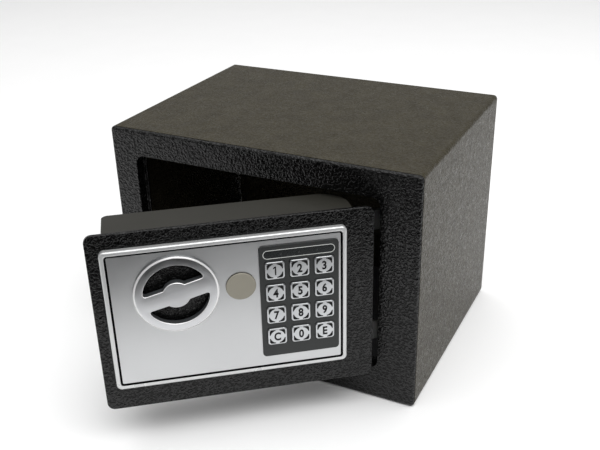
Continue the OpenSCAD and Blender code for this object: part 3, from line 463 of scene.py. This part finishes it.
# %% Plastics
def moulded(name, tone, roughness, grain_size=0.35, grain_height=0.012, **sockets):
    """Moulded plastic: one tone with faint clouds, and the fine grain of its tool."""
    finish = new_finish(name, tone, roughness, **sockets)
    lighter = tuple(min(1.0, 1.12 * t + 0.002) for t in tone[:3]) + (1,)
    two_tone(finish, noise(finish, 12, detail=3), tone, lighter)
    relief(finish, noise(finish, grain_size, detail=1.0), grain_height)


moulded("overlay_grey", screen(28, 31, 31), 0.42)
moulded("smoked_window", screen(26, 29, 30), 0.2, grain_height=0.002, Coat_Weight=0.5)
moulded("line_grey", screen(186, 188, 185), 0.5)
moulded("black_plastic", screen(30, 30, 32), 0.45)
moulded("printing_ink", screen(14, 14, 15), 0.6, Specular_IOR_Level=0.2)
# The walls of the knob's gaps: a darker grey than its face.
moulded("knob_wall_grey", screen(64, 66, 68), 0.5)
# Painted shade: near-black for the gap round the panel.
moulded("gap_shade_black", screen(7, 7, 8), 0.7, Specular_IOR_Level=0.1)
moulded("led_lens", screen(80, 160, 84), 0.12, grain_height=0.002, Coat_Weight=0.5)
moulded("cap_beige", screen(128, 124, 112), 0.48)
moulded("red_plastic", screen(178, 34, 28), 0.35)
moulded("lead_red", screen(168, 36, 30), 0.4)
moulded("battery_sleeve", screen(64, 92, 140), 0.3, Coat_Weight=0.4)
moulded("circuit_board", screen(24, 92, 58), 0.35, grain_size=1.2, grain_height=0.03)
moulded("copper_coil", screen(176, 96, 50), 0.3, grain_size=0.3, grain_height=0.1)
print("finishes:", sorted(finishes))

# %% [markdown]
# The record names a slot for every solid. Each solid gets its slot's finish, so that none is left
# bare, and the pieces that stand for them further down take theirs from the same list.

# %% Give every solid its finish
slot_of = {entry["node"]: entry["material_slot"] for entry in frame["record"]["subparts"]}
for node, solid in frame["nodes"].items():
    solid.data.materials.clear()
    solid.data.materials.append(finishes[slot_of[node]])
print("slots in use:", len(set(slot_of.values())))

# %% [markdown]
# Most pieces of a safe are folded, stamped, cast or moulded, so the solid already has the right
# form and lacks only the small rounding that every real edge has and that catches the light. So
# a copy of the solid's mesh gets its doubled corners joined, the triangles' lines cleared from
# its flat faces, and its sharp edges rounded. Where the real face is crowned as well, the copy is
# cut into small squares first and a formula then moves its points. A copy is never wider than
# its solid, so nothing grows into a neighbour.

# %% Adding a piece
def body_of(node):
    """The moving body that carries a solid."""
    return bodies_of(frame["nodes"][node])[0]


def add_piece(name, mesh, body, slot, looks=()):
    """Puts a mesh in the scene as a piece that rides on a body, with its slot's finish.

    looks names its finishes in order, where it has other ones than the slot's."""
    piece = in_scene(name, mesh)
    mesh.materials.clear()
    for look in looks or [slot]:
        mesh.materials.append(finishes[look])
    mesh.shade_smooth()
    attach(piece, body)
    return piece


print("the door plate rides on", body_of("door_plate"))

# %% Rounded copies of the solids
# Doubled corners lie nearer than these, in metres: those of a solid, and those of a formula.
join_distance = 0.002 * MM
same_place = 1e-7
# Faces that meet more flatly than the first are one, and more steeply than the second get a
# rounded edge between them. An edge with at least this cosine runs straight into the door.
flat_angle = math.radians(1)
crease_angle = math.radians(28)
in_line = 0.99


def cut_squares(work, points, directions, step):
    """Cuts a mesh by evenly spaced planes across each direction, step millimetres apart."""
    for direction in directions:
        along = points @ direction
        for place in np.arange(along.min() + step * MM / 2, along.max(), step * MM):
            everything = work.verts[:] + work.edges[:] + work.faces[:]
            bmesh.ops.bisect_plane(work, geom=everything, dist=same_place,
                                   plane_co=Vector(direction) * place, plane_no=Vector(direction))


def refined(node, rounding, segments=2, squares=None, shape=None, ringed=False, corner=None,
            clamped=False):
    """A solid's mesh, joined and with rounded edges; squares and shape give it a crown.

    A flat face is made whole first, unless the solid has ring-shaped faces, which can't be.
    corner gives the corners in a front view that get a larger radius: a test for their points, a
    test for the short facets beside them, which are joined first, and how far the rounding
    reaches. clamped keeps every rounding as small as the shortest edge allows."""
    mesh = frame["nodes"][node].data.copy()
    mesh.name = node + "_finished"
    # The normals that are stored with the solid's faces don't fit the new ones.
    if "custom_normal" in mesh.attributes:
        mesh.attributes.remove(mesh.attributes["custom_normal"])
    work = bmesh.new()
    work.from_mesh(mesh)
    bmesh.ops.remove_doubles(work, verts=work.verts, dist=join_distance)
    if not ringed:
        bmesh.ops.dissolve_limit(work, angle_limit=flat_angle, verts=work.verts, edges=work.edges)
    if corner:
        at_corner, beside, reach = corner
        through = [edge for edge in work.edges
                   if abs((edge.verts[0].co - edge.verts[1].co).normalized().dot(outward)) > in_line]
        chosen = [edge for edge in through if all(at_corner(end.co) for end in edge.verts)]
        facets = [edge for edge in through if all(beside(end.co) for end in edge.verts)]
        bmesh.ops.dissolve_edges(work, edges=facets, use_verts=True)
        bmesh.ops.bevel(work, geom=chosen, offset=reach * MM, segments=6, profile=0.5,
                        affect="EDGES", clamp_overlap=False)
        print(node, "has", len(chosen), "larger corners, after", len(facets), "facets were joined")
    edges = [edge for edge in work.edges
             if len(edge.link_faces) == 2 and edge.calc_face_angle() > crease_angle]
    bmesh.ops.bevel(work, geom=edges, offset=rounding * MM, segments=segments, profile=0.5,
                    affect="EDGES", clamp_overlap=clamped)
    if squares:
        cut_squares(work, node_points(node), *squares)
    work.to_mesh(mesh)
    work.free()
    if shape:
        mesh.vertices.foreach_set("co", shape(mesh_points(mesh)).ravel())
        mesh.update()
    return mesh


print("edges over", round(math.degrees(crease_angle)), "degrees are rounded")


# %% Dressing a solid
def dressed(node, rounding, looks=(), crisp=False, **how):
    """The piece that stands for a solid: its own form, with rounded edges.

    crisp shades its creases as sharp ones, so that a chamfer looks flat."""
    piece = add_piece(node + "_finished", refined(node, rounding, **how), body_of(node),
                      slot_of[node], looks)
    if crisp:
        piece.data.set_sharp_from_angle(angle=crease_angle)
    flatter = piece.modifiers.new("flat faces stay flat", "WEIGHTED_NORMAL")
    flatter.keep_sharp = True
    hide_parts(node)
    return piece


def sinking(face, stop, fade, depth_at, side=1):
    """A shape for a piece: sinks its face by depth_at(s, z) millimetres.

    What lies at the face sinks in full and what lies stop millimetres behind it stays. Between
    the two, the sinking fades over the last fade millimetres. side is 1 for a face at the front
    of the door and -1 for one at its back."""
    def sunk(points):
        local = to_door(points)
        share = np.clip((stop - side * (local[:, 1] - face)) / fade, 0, 1)
        local[:, 1] += side * share * depth_at(local[:, 0], local[:, 2])
        return at_door(local)

    return sunk


print("a solid can be dressed, and its face sunk by a formula")


# %% Finding and painting faces
def face_facts(piece):
    """The middles, in (s, d, z) millimetres, and the normals of a piece's faces."""
    count = len(piece.data.polygons)
    middles, normals = np.empty(3 * count), np.empty(3 * count)
    piece.data.polygons.foreach_get("center", middles)
    piece.data.polygons.foreach_get("normal", normals)
    return to_door(middles.reshape(-1, 3)), normals.reshape(-1, 3)


def paint_faces(piece, numbers):
    """Gives each face one of the piece's finishes by its number; yes and no are 1 and 0."""
    piece.data.polygons.foreach_set("material_index", np.asarray(numbers, dtype=np.int32))


print("faces can be chosen by their place and direction")

# %% [markdown]
# The sheet-metal pieces and the turned and stamped ones need only their rounding. A folded sheet
# is rounded by its bend, a stamped edge by the punch, and a powder-coated edge by the paint that
# gathers there, so those are about half a millimetre; machined parts are barely broken. The
# front frame and the case sheet wear the same black paint, but the case's coat has a lighter
# warm grey painted in as sheen, which stands for what its top and sides reflect, so the front
# frame's coat is a finish of its own with the paint's own black.

# %% Pieces that keep their solid's form
rounding_of = {
    "case_wrap": 0.6, "back_panel": 0.4, "front_frame": 0.6, "door_plate": 0.7, "door_pan": 0.6,
    "pan_cover": 0.3, "hinge_arm_upper": 0.4, "hinge_arm_lower": 0.4, "hinge_pins": 0.3,
    "hinge_bracket_upper": 0.3, "hinge_bracket_lower": 0.3, "live_bolts": 0.5,
    "bolt_carriage": 0.25, "knob_cam": 0.25, "plunger": 0.3, "solenoid_frame": 0.2,
    "lock_housing": 0.25, "lock_nut": 0.25, "lock_plug": 0.15, "lock_cam": 0.2,
    "knob_bush": 0.2, "guide_studs": 0.15, "battery_box": 0.5, "reset_button": 0.35,
    "keypad_board": 0.15, "control_board": 0.15, "tact_switches": 0.1, "bolt_screws": 0.15,
}
for node, rounding in rounding_of.items():
    dressed(node, rounding, looks=["front_powder_coat"] if node == "front_frame" else (),
            ringed=node in ("case_wrap", "pan_cover"), clamped=node == "door_pan")
print("pieces with rounded edges:", len(rounding_of))

# %% [markdown]
# Some surfaces are easier to write as a formula than to take from the solid. All of them here
# are a profile carried round a closed path: a rounded rectangle for a printed border, a circle
# for a turned part. The points make a grid of rows (the profile) and columns (the path), and the
# faces are the squares between them. Places on the door are given as (right, up, proud) from a
# point on it, because that is how a drawing of the front would give them.

# %% Helpers for formula surfaces
def rounded_rectangle(width, height, radius, corner_steps=10):
    """Points round a rectangle with round corners: each corner is a quarter circle, counted on.

    Sizes given as columns of numbers give one such ring of points for each."""
    corner = np.repeat(np.arange(4), corner_steps + 1)
    share = np.tile(np.linspace(0, 1, corner_steps + 1), 4)
    angle = (corner + share) * math.pi / 2
    side_x = np.where((corner == 0) | (corner == 3), 1, -1)
    side_y = np.where(corner < 2, 1, -1)
    return np.stack([side_x * (width / 2 - radius) + radius * np.cos(angle),
                     side_y * (height / 2 - radius) + radius * np.sin(angle)], axis=-1)


def surface_mesh(name, points, faces):
    """A mesh from points and faces, with points in one place joined and its faces outwards."""
    mesh = bpy.data.meshes.new(name)
    mesh.from_pydata(np.asarray(points).reshape(-1, 3).tolist(), [], np.asarray(faces).tolist())
    work = bmesh.new()
    work.from_mesh(mesh)
    bmesh.ops.remove_doubles(work, verts=work.verts, dist=same_place)
    bmesh.ops.recalc_face_normals(work, faces=work.faces)
    work.to_mesh(mesh)
    work.free()
    return mesh


def on_front(s, d, z, local):
    """Points given as (right, up, proud) in millimetres from a place on the door, in metres."""
    right, up, proud = np.moveaxis(np.asarray(local, float), -1, 0)
    return at_door(np.stack([s + right, d - proud, z + up], axis=-1))


def bead(name, body, slot, looks, low, high, depth, radius, inset, width, height):
    """A thin rounded line along a rectangle's outline, such as a printed border.

    low and high are the rectangle's corners (s, z). The line's section is an ellipse, width wide
    and height proud of the depth. Its points lie inset and more inwards from the outline, and
    each is carried round the rectangle."""
    turn = np.linspace(0, 2 * math.pi, 12, endpoint=False)[:, None]
    inward = inset + width / 2 * (1 - np.cos(turn))
    rings = rounded_rectangle(*(high - low)[:, None, None] - 2 * inward, radius - inward)
    proud = height * np.sin(turn) + 0 * rings[..., 0]
    local = np.stack([rings[..., 0], rings[..., 1], proud], axis=-1)
    middle_s, middle_z = (low + high) / 2
    faces = grid_faces(*proud.shape, rows_meet=True, columns_meet=True)
    mesh = surface_mesh(name, on_front(middle_s, depth, middle_z, local), faces)
    return add_piece(name, mesh, body, slot, looks)


print("a rounded rectangle has", len(rounded_rectangle(2, 2, 0.5)), "points")

# %% [markdown]
# The surround is a chrome-coloured moulding that is pressed into the door plate, and the satin
# panel drops into it. A gap is left between the two, and its shade is painted in: the surround's
# faces that lie within the gap's outline and no higher than a little over the panel are painted
# near-black, and so are the panel's chamfered edges, so that the gap shows as a wide dark line.

# %% Surround and panel
gap_width = 0.65
gap_rise = 0.45

panel_low, panel_high = door_box("panel_plate")
surround = dressed("bezel", 0.3, ["bright_trim", "gap_shade_black"], segments=3, ringed=True)
middles, _ = face_facts(surround)
place = middles[:, [0, 2]]
within = ((place > panel_low[[0, 2]] - gap_width)
          & (place < panel_high[[0, 2]] + gap_width)).all(axis=1)
# Painted shade: the surround's faces in the gap are near-black.
paint_faces(surround, within & (middles[:, 1] > panel_low[1] - gap_rise))

panel = dressed("panel_plate", 0.72, ["satin_silver", "gap_shade_black"], crisp=True, segments=1)
_, normals = face_facts(panel)
# Painted shade: the panel's chamfered edges are near-black, which widens the dark gap.
paint_faces(panel, np.abs(normals @ outward) < 0.9)
print("panel from (s, d, z)", panel_low.round(1), "to", panel_high.round(1))

# %% [markdown]
# The knob is one moulding: a flat ring, a slanted bar across it and a round boss in the middle,
# with two crescent gaps for the finger and thumb. Its face is gently crowned along each of the
# three, so the height over the face is a rounded hill across the ring, across the bar and round
# the boss, and the hills are blended by adding their fourth powers, which keeps the highest one
# and smooths the valley between two. Over all of that lies one wide dome. The walls of the gaps
# are a darker grey than the face, and the flat chamfers along every edge carry a painted
# highlight: a lighter, part-metal finish, so that they stay light whichever way they look. The four
# corners where the bar meets the ring are rounded with a larger radius, as a mould needs.

# %% Crown of the knob
knob_low, knob_high = door_box("knob")
knob_s, _, knob_z = (knob_low + knob_high) / 2
knob_face, knob_radius = knob_low[1], (knob_high[0] - knob_low[0]) / 2
ring_inner = 20.2
bar_half = 5.35
bar_slant = math.radians(14.5)
boss_radius = 8.5
crown = 0.1
dome = 0.9


def knob_hill(right, up):
    """Height of the crown over the knob's edges, from 0 to 1.

    Each hill is one less the square of the place across it, and they are blended by the fourth
    root of the sum of their fourth powers."""
    reach = np.hypot(right, up)
    across = np.cos(bar_slant) * up - np.sin(bar_slant) * right
    ring_middle, ring_half = (knob_radius + ring_inner) / 2, (knob_radius - ring_inner) / 2
    hills = [1 - ((reach - ring_middle) / ring_half) ** 2,
             np.where(reach < ring_middle, 1 - (across / bar_half) ** 2, 0),
             1 - (reach / boss_radius) ** 2]
    return np.minimum(sum(np.maximum(hill, 0) ** 4 for hill in hills) ** 0.25, 1)


def knob_fall(s, z):
    """How far the face lies below its middle: by the hills, and by the dome's fourth power."""
    right, up = s - knob_s, z - knob_z
    return crown * (1 - knob_hill(right, up)) + dome * (np.hypot(right, up) / knob_radius) ** 4


print("knob's rim lies", knob_fall(knob_s + knob_radius, knob_z).round(2), "mm below its middle")

# %% Corners of the knob's gaps
corner_reach = 2.4
corner_size = 0.3
facets_within = 3.4
wall_slack = 0.2


def from_gap_corner(point):
    """How far a point lies from the nearest corner of a gap, where the bar meets the ring."""
    right, _, up = to_door(np.array(point)) - [knob_s, 0, knob_z]
    along = math.cos(bar_slant) * right + math.sin(bar_slant) * up
    across = math.cos(bar_slant) * up - math.sin(bar_slant) * right
    corner_along = math.sqrt(ring_inner ** 2 - bar_half ** 2)
    return math.hypot(abs(along) - corner_along, abs(across) - bar_half)


def gap_corner(point):
    """Whether a point is a corner of a gap."""
    return from_gap_corner(point) < corner_size


def beside_corner(point):
    """Whether a point is on the ring's inner wall and near a corner of a gap, but not in it."""
    right, _, up = to_door(np.array(point)) - [knob_s, 0, knob_z]
    on_wall = abs(math.hypot(right, up) - ring_inner) < wall_slack
    return on_wall and corner_size < from_gap_corner(point) < facets_within


print("corners of the gaps get a rounding that reaches", corner_reach, "mm")

# %% Knob
along_s = door_turn @ np.array([1.0, 0.0, 0.0])
knob_piece = dressed("knob", 0.32, ["knob_silver", "knob_wall_grey", "edge_highlight_paint"], crisp=True,
                     segments=1, corner=(gap_corner, beside_corner, corner_reach),
                     squares=([along_s, upwards], 1.2),
                     shape=sinking(knob_face, 1.2, 0.6, knob_fall))
middles, normals = face_facts(knob_piece)
reach = np.hypot(middles[:, 0] - knob_s, middles[:, 2] - knob_z)
facing = np.abs(normals @ outward)
walls = (facing < 0.25) & (reach < ring_inner + 0.1)
# The chamfers get the painted-highlight finish.
chamfers = (facing > 0.4) & (facing < 0.9) & (middles[:, 1] < knob_face + 1.6)
paint_faces(knob_piece, walls + 2 * chamfers)
print("knob at", knob_s.round(2), knob_z.round(2), "faces", len(knob_piece.data.polygons))

# %% [markdown]
# The cap over the emergency lock is a warm-grey plastic plug with a flat face and a soft rim.
# It is crowned like the knob, but as one dome, low enough to look flat until the light grazes it.

# %% Cap
cap_low, cap_high = door_box("lock_cap")
cap_s, _, cap_z = (cap_low + cap_high) / 2
cap_radius = (cap_high[0] - cap_low[0]) / 2
cap_dome = 0.25


def cap_fall(s, z):
    """A dome that falls with the fourth power of the distance from the cap's middle."""
    return cap_dome * (np.hypot(s - cap_s, z - cap_z) / cap_radius) ** 4


dressed("lock_cap", 0.5, crisp=True, segments=1, squares=([along_s, upwards], 1.0),
        shape=sinking(cap_low[1], 0.8, 0.4, cap_fall))
print("cap of radius", cap_radius.round(2), "mm at", cap_s.round(1), cap_z.round(1))

# %% [markdown]
# The overlay is a dark printed film over the keypad, with a light oval line round the status
# window. Behind the window three small lights show as faint spots.

# %% Overlay and window
light_radius = 0.7
light_height = 0.08

dressed("keypad_overlay", 0.12, segments=1)
dressed("led_window", 0.08, segments=1)
window_low, window_high = door_box("led_window")
window_height = window_high[2] - window_low[2]
bead("window_line", body_of("led_window"), "key_silver", ["line_grey"], window_low[[0, 2]],
     window_high[[0, 2]], depth=window_low[1], radius=window_height / 2, inset=-0.05, width=0.42,
     height=0.05)


def spot(name, body, s, d, z):
    """A low round dome: its height falls with the square of the distance from its middle."""
    share = np.linspace(0, 1, 5)[:, None]
    turn = np.linspace(0, 2 * math.pi, 20, endpoint=False)[None, :]
    reach = light_radius * share
    local = np.stack([reach * np.cos(turn), reach * np.sin(turn),
                      light_height * (1 - share ** 2) + 0 * turn], axis=-1)
    faces = grid_faces(share.size, turn.size, columns_meet=True)
    mesh = surface_mesh(name, on_front(s, d, z, local), faces)
    return add_piece(name, mesh, body, "led_lens", ["overlay_grey"])


for number, place in enumerate(np.linspace(0.25, 0.75, 3)):
    light_s = window_low[0] + place * (window_high[0] - window_low[0])
    spot("window_light_" + str(number + 1), body_of("led_window"), light_s, window_low[1],
         (window_low[2] + window_high[2]) / 2)
print("window", (window_high[0] - window_low[0]).round(1), "by", window_height.round(1), "mm")

# %% [markdown]
# Each key is a silver cap with a printed face: a black digit in a silver disc, and a black
# corner mark in each of the four corners that the disc leaves free. A corner mark lies between
# the disc and a rounded square, so along a ray from the key's middle it runs from the disc's
# edge to the square's. The rounded square is a superellipse of the ninth power, whose edge along
# a ray has a short formula. The print is a thin layer on the cap, and sinks as the cap does.

# %% Key caps and corner marks
key_crown = 0.15
disc_radius = 4.6
mark_half = 5.0
mark_power = 9
mark_least = 0.02


def pillow(right, up):
    """How far a key's face sinks at a place that runs from -1 to 1 each way.

    That is the sum of the two fourth powers, and one and a half at most, times the crown."""
    return key_crown * np.clip(right ** 4 + up ** 4, 0, 1.5)


def corner_marks():
    """Flat points (right, up) and faces of the four corner marks round a key's disc.

    The rounded square's edge along a ray is its half width over the ninth root of the sum of the
    cosine's and the sine's ninth powers. A mark is never thinner than mark_least."""
    angle = np.radians(np.linspace(14, 76, 17))[:, None]
    share = np.linspace(0, 1, 4)[None, :]
    powers = np.cos(angle) ** mark_power + np.sin(angle) ** mark_power
    edge = mark_half / powers ** (1 / mark_power)
    ray = disc_radius + share * np.maximum(edge - disc_radius, mark_least)
    points, faces = [], []
    for quarter in range(4):
        turned = angle + quarter * math.pi / 2
        mark = np.stack([ray * np.cos(turned), ray * np.sin(turned)], axis=-1)
        points.append(mark.reshape(-1, 2))
        faces.append(grid_faces(angle.size, share.size) + quarter * ray.size)
    return np.concatenate(points), np.concatenate(faces)


mark_points, mark_faces = corner_marks()
print("corner marks of a key:", len(mark_faces), "faces")

# %% Printed keys
print_height = 0.05
ink_thickness = 0.08
digit_height = 6.0
digit_squeeze = 0.8
digit_boldness = 0.035


def digit_shape(text):
    """Flat points (right, up) in millimetres and faces of a printed digit, centred on its middle.

    The font's 1 has hardly a flag, so it is drawn: an upright stem, and a flag on its left."""
    if text == "1":
        stem = [(-0.1, -3.0), (0.75, -3.0), (0.75, 3.0), (-0.1, 3.0)]
        flag = [(-0.1, 3.0), (-1.2, 2.05), (-1.2, 1.15), (-0.1, 1.8)]
        return np.array(stem + flag), [[0, 1, 2, 3], [4, 5, 6, 7]]
    curve = bpy.data.curves.new("digit", "FONT")
    curve.body = text
    curve.offset = digit_boldness
    curve.resolution_u = 8
    flat = bpy.data.meshes.new_from_object(bpy.data.objects.new("digit", curve))
    points = mesh_points(flat)[:, :2]
    faces = [list(face.vertices) for face in flat.polygons]
    low, high = points.min(axis=0), points.max(axis=0)
    size = np.array([digit_squeeze, 1.0]) * digit_height / (high[1] - low[1])
    return (points - (low + high) / 2) * size, faces


def printed_key(node):
    """A key's crowned cap, and on it the layer of ink with its digit and corner marks."""
    low, high = door_box(node)
    (s, _, z), (half_s, _, half_z) = (low + high) / 2, (high - low) / 2
    dressed(node, 0.45, segments=3, squares=([along_s, upwards], 1.1),
            shape=sinking(low[1], 0.8, 0.5,
                          lambda at_s, at_z: pillow((at_s - s) / half_s, (at_z - z) / half_z)))
    digit_points, digit_faces = digit_shape(node[-1].upper())
    right, up = np.concatenate([mark_points, digit_points]).T
    proud = print_height - pillow(right / half_s, up / half_z)
    points = on_front(s, low[1], z, np.stack([right, up, proud], axis=-1))
    faces = mark_faces.tolist() + [[corner + len(mark_points) for corner in face]
                                   for face in digit_faces]
    mesh = bpy.data.meshes.new(node + "_print")
    mesh.from_pydata(points.tolist(), [], faces)
    printed = add_piece(node + "_print", mesh, body_of(node), "black_plastic", ["printing_ink"])
    layer = printed.modifiers.new("layer of ink", "SOLIDIFY")
    layer.thickness = ink_thickness * MM
    layer.offset = -1


keys = sorted(name for name in frame["nodes"] if name.startswith("key_"))
for key in keys:
    printed_key(key)
print("keys printed:", len(keys))

# %% [markdown]
# The small hardware, the leads and the lights keep their solid's form as well, with barely broken
# edges. A battery is a steel can in a printed sleeve, so the sleeve covers its side and the two
# ends are bare metal: those are the faces that look along the battery.

# %% Hardware and batteries
small_rounding = {"panel_screws": 0.15, "board_standoffs": 0.12, "shaft_clip": 0.12,
                  "knob_shaft": 0.2, "cover_screws": 0.25, "status_leds": 0.3,
                  "battery_contacts": 0.1, "wiring": 0.2}
for node, rounding in small_rounding.items():
    dressed(node, rounding, clamped=node == "wiring")
battery_piece = dressed("batteries", 0.6, ["battery_sleeve", "zinc_steel"], segments=3)
_, normals = face_facts(battery_piece)
paint_faces(battery_piece, np.abs(normals @ along_s) > 0.35)
print("small pieces:", len(small_rounding) + 1)

# %% [markdown]
# The solenoid's coil is a bobbin wound with enamelled copper wire, and its turns show as fine
# ridges. That is a profile carried round a circle. Going up the outside, the profile is the
# bobbin's foot, one small arch for each turn of wire, and the bobbin's top; then it goes down the
# bore in which the plunger moves and closes at its floor.

# %% Parts turned round a line
def turned_part(name, body, slot, looks, profile, s, d):
    """A profile of (radius, height) in millimetres, carried once round an upright line at (s, d)."""
    radius, height = np.asarray(profile, float).T[:, :, None]
    turn = np.linspace(0, 2 * math.pi, 64, endpoint=False)[None, :]
    local = np.stack([s + radius * np.cos(turn), d + radius * np.sin(turn), height + 0 * turn],
                     axis=-1)
    faces = grid_faces(len(profile), turn.size, columns_meet=True)
    mesh = surface_mesh(name, at_door(local), faces)
    piece = add_piece(name, mesh, body, slot, looks)
    piece.data.set_sharp_from_angle(angle=math.radians(40))
    return piece


print("a profile can be turned round an upright line")

# %% Coil
coil_low, coil_high = door_box("solenoid_coil")
coil_s, coil_d, _ = (coil_low + coil_high) / 2
coil_radius = (coil_high[0] - coil_low[0]) / 2
bore_radius = 3.3
bore_floor = 1.5
flange = 1.1
wire_turns = 26
points_a_turn = 6
wire_sunk = 0.2
wire_bulge = 0.3

up = np.linspace(0, wire_turns, points_a_turn * wire_turns + 1)
wound = coil_radius - wire_sunk - wire_bulge * (1 - np.abs(np.sin(math.pi * up)))
wound_height = coil_low[2] + flange + up / wire_turns * (coil_high[2] - coil_low[2] - 2 * flange)
coil_profile = [(0, coil_low[2]), (coil_radius, coil_low[2]), (coil_radius, wound_height[0])]
coil_profile += list(zip(wound, wound_height))
coil_profile += [(coil_radius, wound_height[-1]), (coil_radius, coil_high[2]),
                 (bore_radius, coil_high[2]), (bore_radius, coil_low[2] + bore_floor),
                 (0, coil_low[2] + bore_floor)]
coil_piece = turned_part("coil_wound", body_of("solenoid_coil"), "copper_coil",
                         ["copper_coil", "black_plastic"], coil_profile, coil_s, coil_d)
middles, _ = face_facts(coil_piece)
reach = np.hypot(middles[:, 0] - coil_s, middles[:, 1] - coil_d)
paint_faces(coil_piece, (reach < bore_radius + 0.1) | (middles[:, 2] < wound_height[0])
             | (middles[:, 2] > wound_height[-1]))
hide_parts("solenoid_coil")
print("coil of", wire_turns, "turns, faces:", len(coil_piece.data.polygons))

# %% [markdown]
# The plunger's return spring is a wire wound as an open helix. A point of its surface is the
# helix's middle line plus a small circle laid in the outward and upward directions, so it is a
# function of two angles: how far along the wire, and how far round it. When the plunger is drawn
# in, its collar comes down on the spring. The spring rests on the frame and can't follow the
# plunger as a stiff piece would.

# %% Spring
spring_low, spring_high = door_box("plunger_spring")
spring_turns = 4
wire_radius = 0.39
spring_radius = (spring_high[0] - spring_low[0]) / 2 - wire_radius
rings_a_turn = 40
along = np.linspace(0, 1, rings_a_turn * spring_turns + 1)[:, None]
round_wire = np.linspace(0, 2 * math.pi, 12, endpoint=False)[None, :]

# The wire has no thickness at its two ends, which closes them.
thickness = wire_radius * (np.minimum(along, 1 - along) > 0)
reach = spring_radius + thickness * np.cos(round_wire)
turn = 2 * math.pi * spring_turns * along
rise = spring_high[2] - spring_low[2] - 2 * wire_radius
local = np.stack([coil_s + reach * np.cos(turn), coil_d + reach * np.sin(turn),
                  spring_low[2] + wire_radius + rise * along + thickness * np.sin(round_wire)],
                 axis=-1)
spring_mesh = surface_mesh("spring_coiled", at_door(local),
                           grid_faces(along.size, round_wire.size, columns_meet=True))
spring_piece = add_piece("spring_coiled", spring_mesh, body_of("plunger_spring"), "zinc_steel")
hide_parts("plunger_spring")
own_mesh(spring_piece)

# %% [markdown]
# The battery hatch is a moulded cover that is pulled off the back of the door. A cover like this
# has a panel that lies a little lower than its rim, and a few ribs for the thumb at the end where
# it is opened. Both are heights over the flat face, so the face is cut into small squares and
# lowered: by a soft step inside the rim, and by a row of grooves, one less the cosine of the
# place, whose depth fades to nothing at the patch's edge.

# %% Battery hatch
hatch_low, hatch_high = door_box("battery_cover")
rim_width = 3.4
rim_slope = 0.9
panel_sunk = 0.35
grip_middle = [(hatch_low[0] + hatch_high[0]) / 2, hatch_high[2] - 11.0]
grip_half = [13.0, 6.0]
grip_fade = 1.2
groove_depth = 0.5
groove_pitch = 2.4


def soft_step(value, edge, width):
    """Goes smoothly from 0 below the edge to 1 beyond it."""
    share = np.clip((value - edge) / width + 0.5, 0, 1)
    return share ** 2 * (3 - 2 * share)


def hatch_fall(s, z):
    """The panel inside the rim, and the thumb grooves: a patch of one less the cosine."""
    inward = np.minimum(np.minimum(s - hatch_low[0], hatch_high[0] - s),
                        np.minimum(z - hatch_low[2], hatch_high[2] - z))
    right, up = s - grip_middle[0], z - grip_middle[1]
    patch = (soft_step(grip_half[0] - np.abs(right), 0, grip_fade)
             * soft_step(grip_half[1] - np.abs(up), 0, grip_fade))
    grooves = patch * groove_depth / 2 * (1 - np.cos(2 * math.pi * up / groove_pitch))
    return panel_sunk * soft_step(inward, rim_width, rim_slope) + grooves


hatch_piece = dressed("battery_cover", 0.35, squares=([along_s, upwards], 0.8),
                      shape=sinking(hatch_high[1], 0.6, 0.4, hatch_fall, side=-1))
print("hatch faces:", len(hatch_piece.data.polygons))

# %% [markdown]
# The mat is a sheet of needled felt, cut to the floor with a hole over each anchor hole and laid
# in loose. It is thin and stays flat, so its solid's form is right, with edges that the shears
# left soft. The size that it was cut to is printed.

# %% Felt mat
mat_width, mat_length, mat_thickness = np.ptp(node_points("floor_mat"), axis=0).tolist()
mat_piece = dressed("floor_mat", 0.7, segments=3)
print("mat cut to", round(mat_width, 4), "by", round(mat_length, 4), "m, and",
      round(mat_thickness, 4), "m thick")
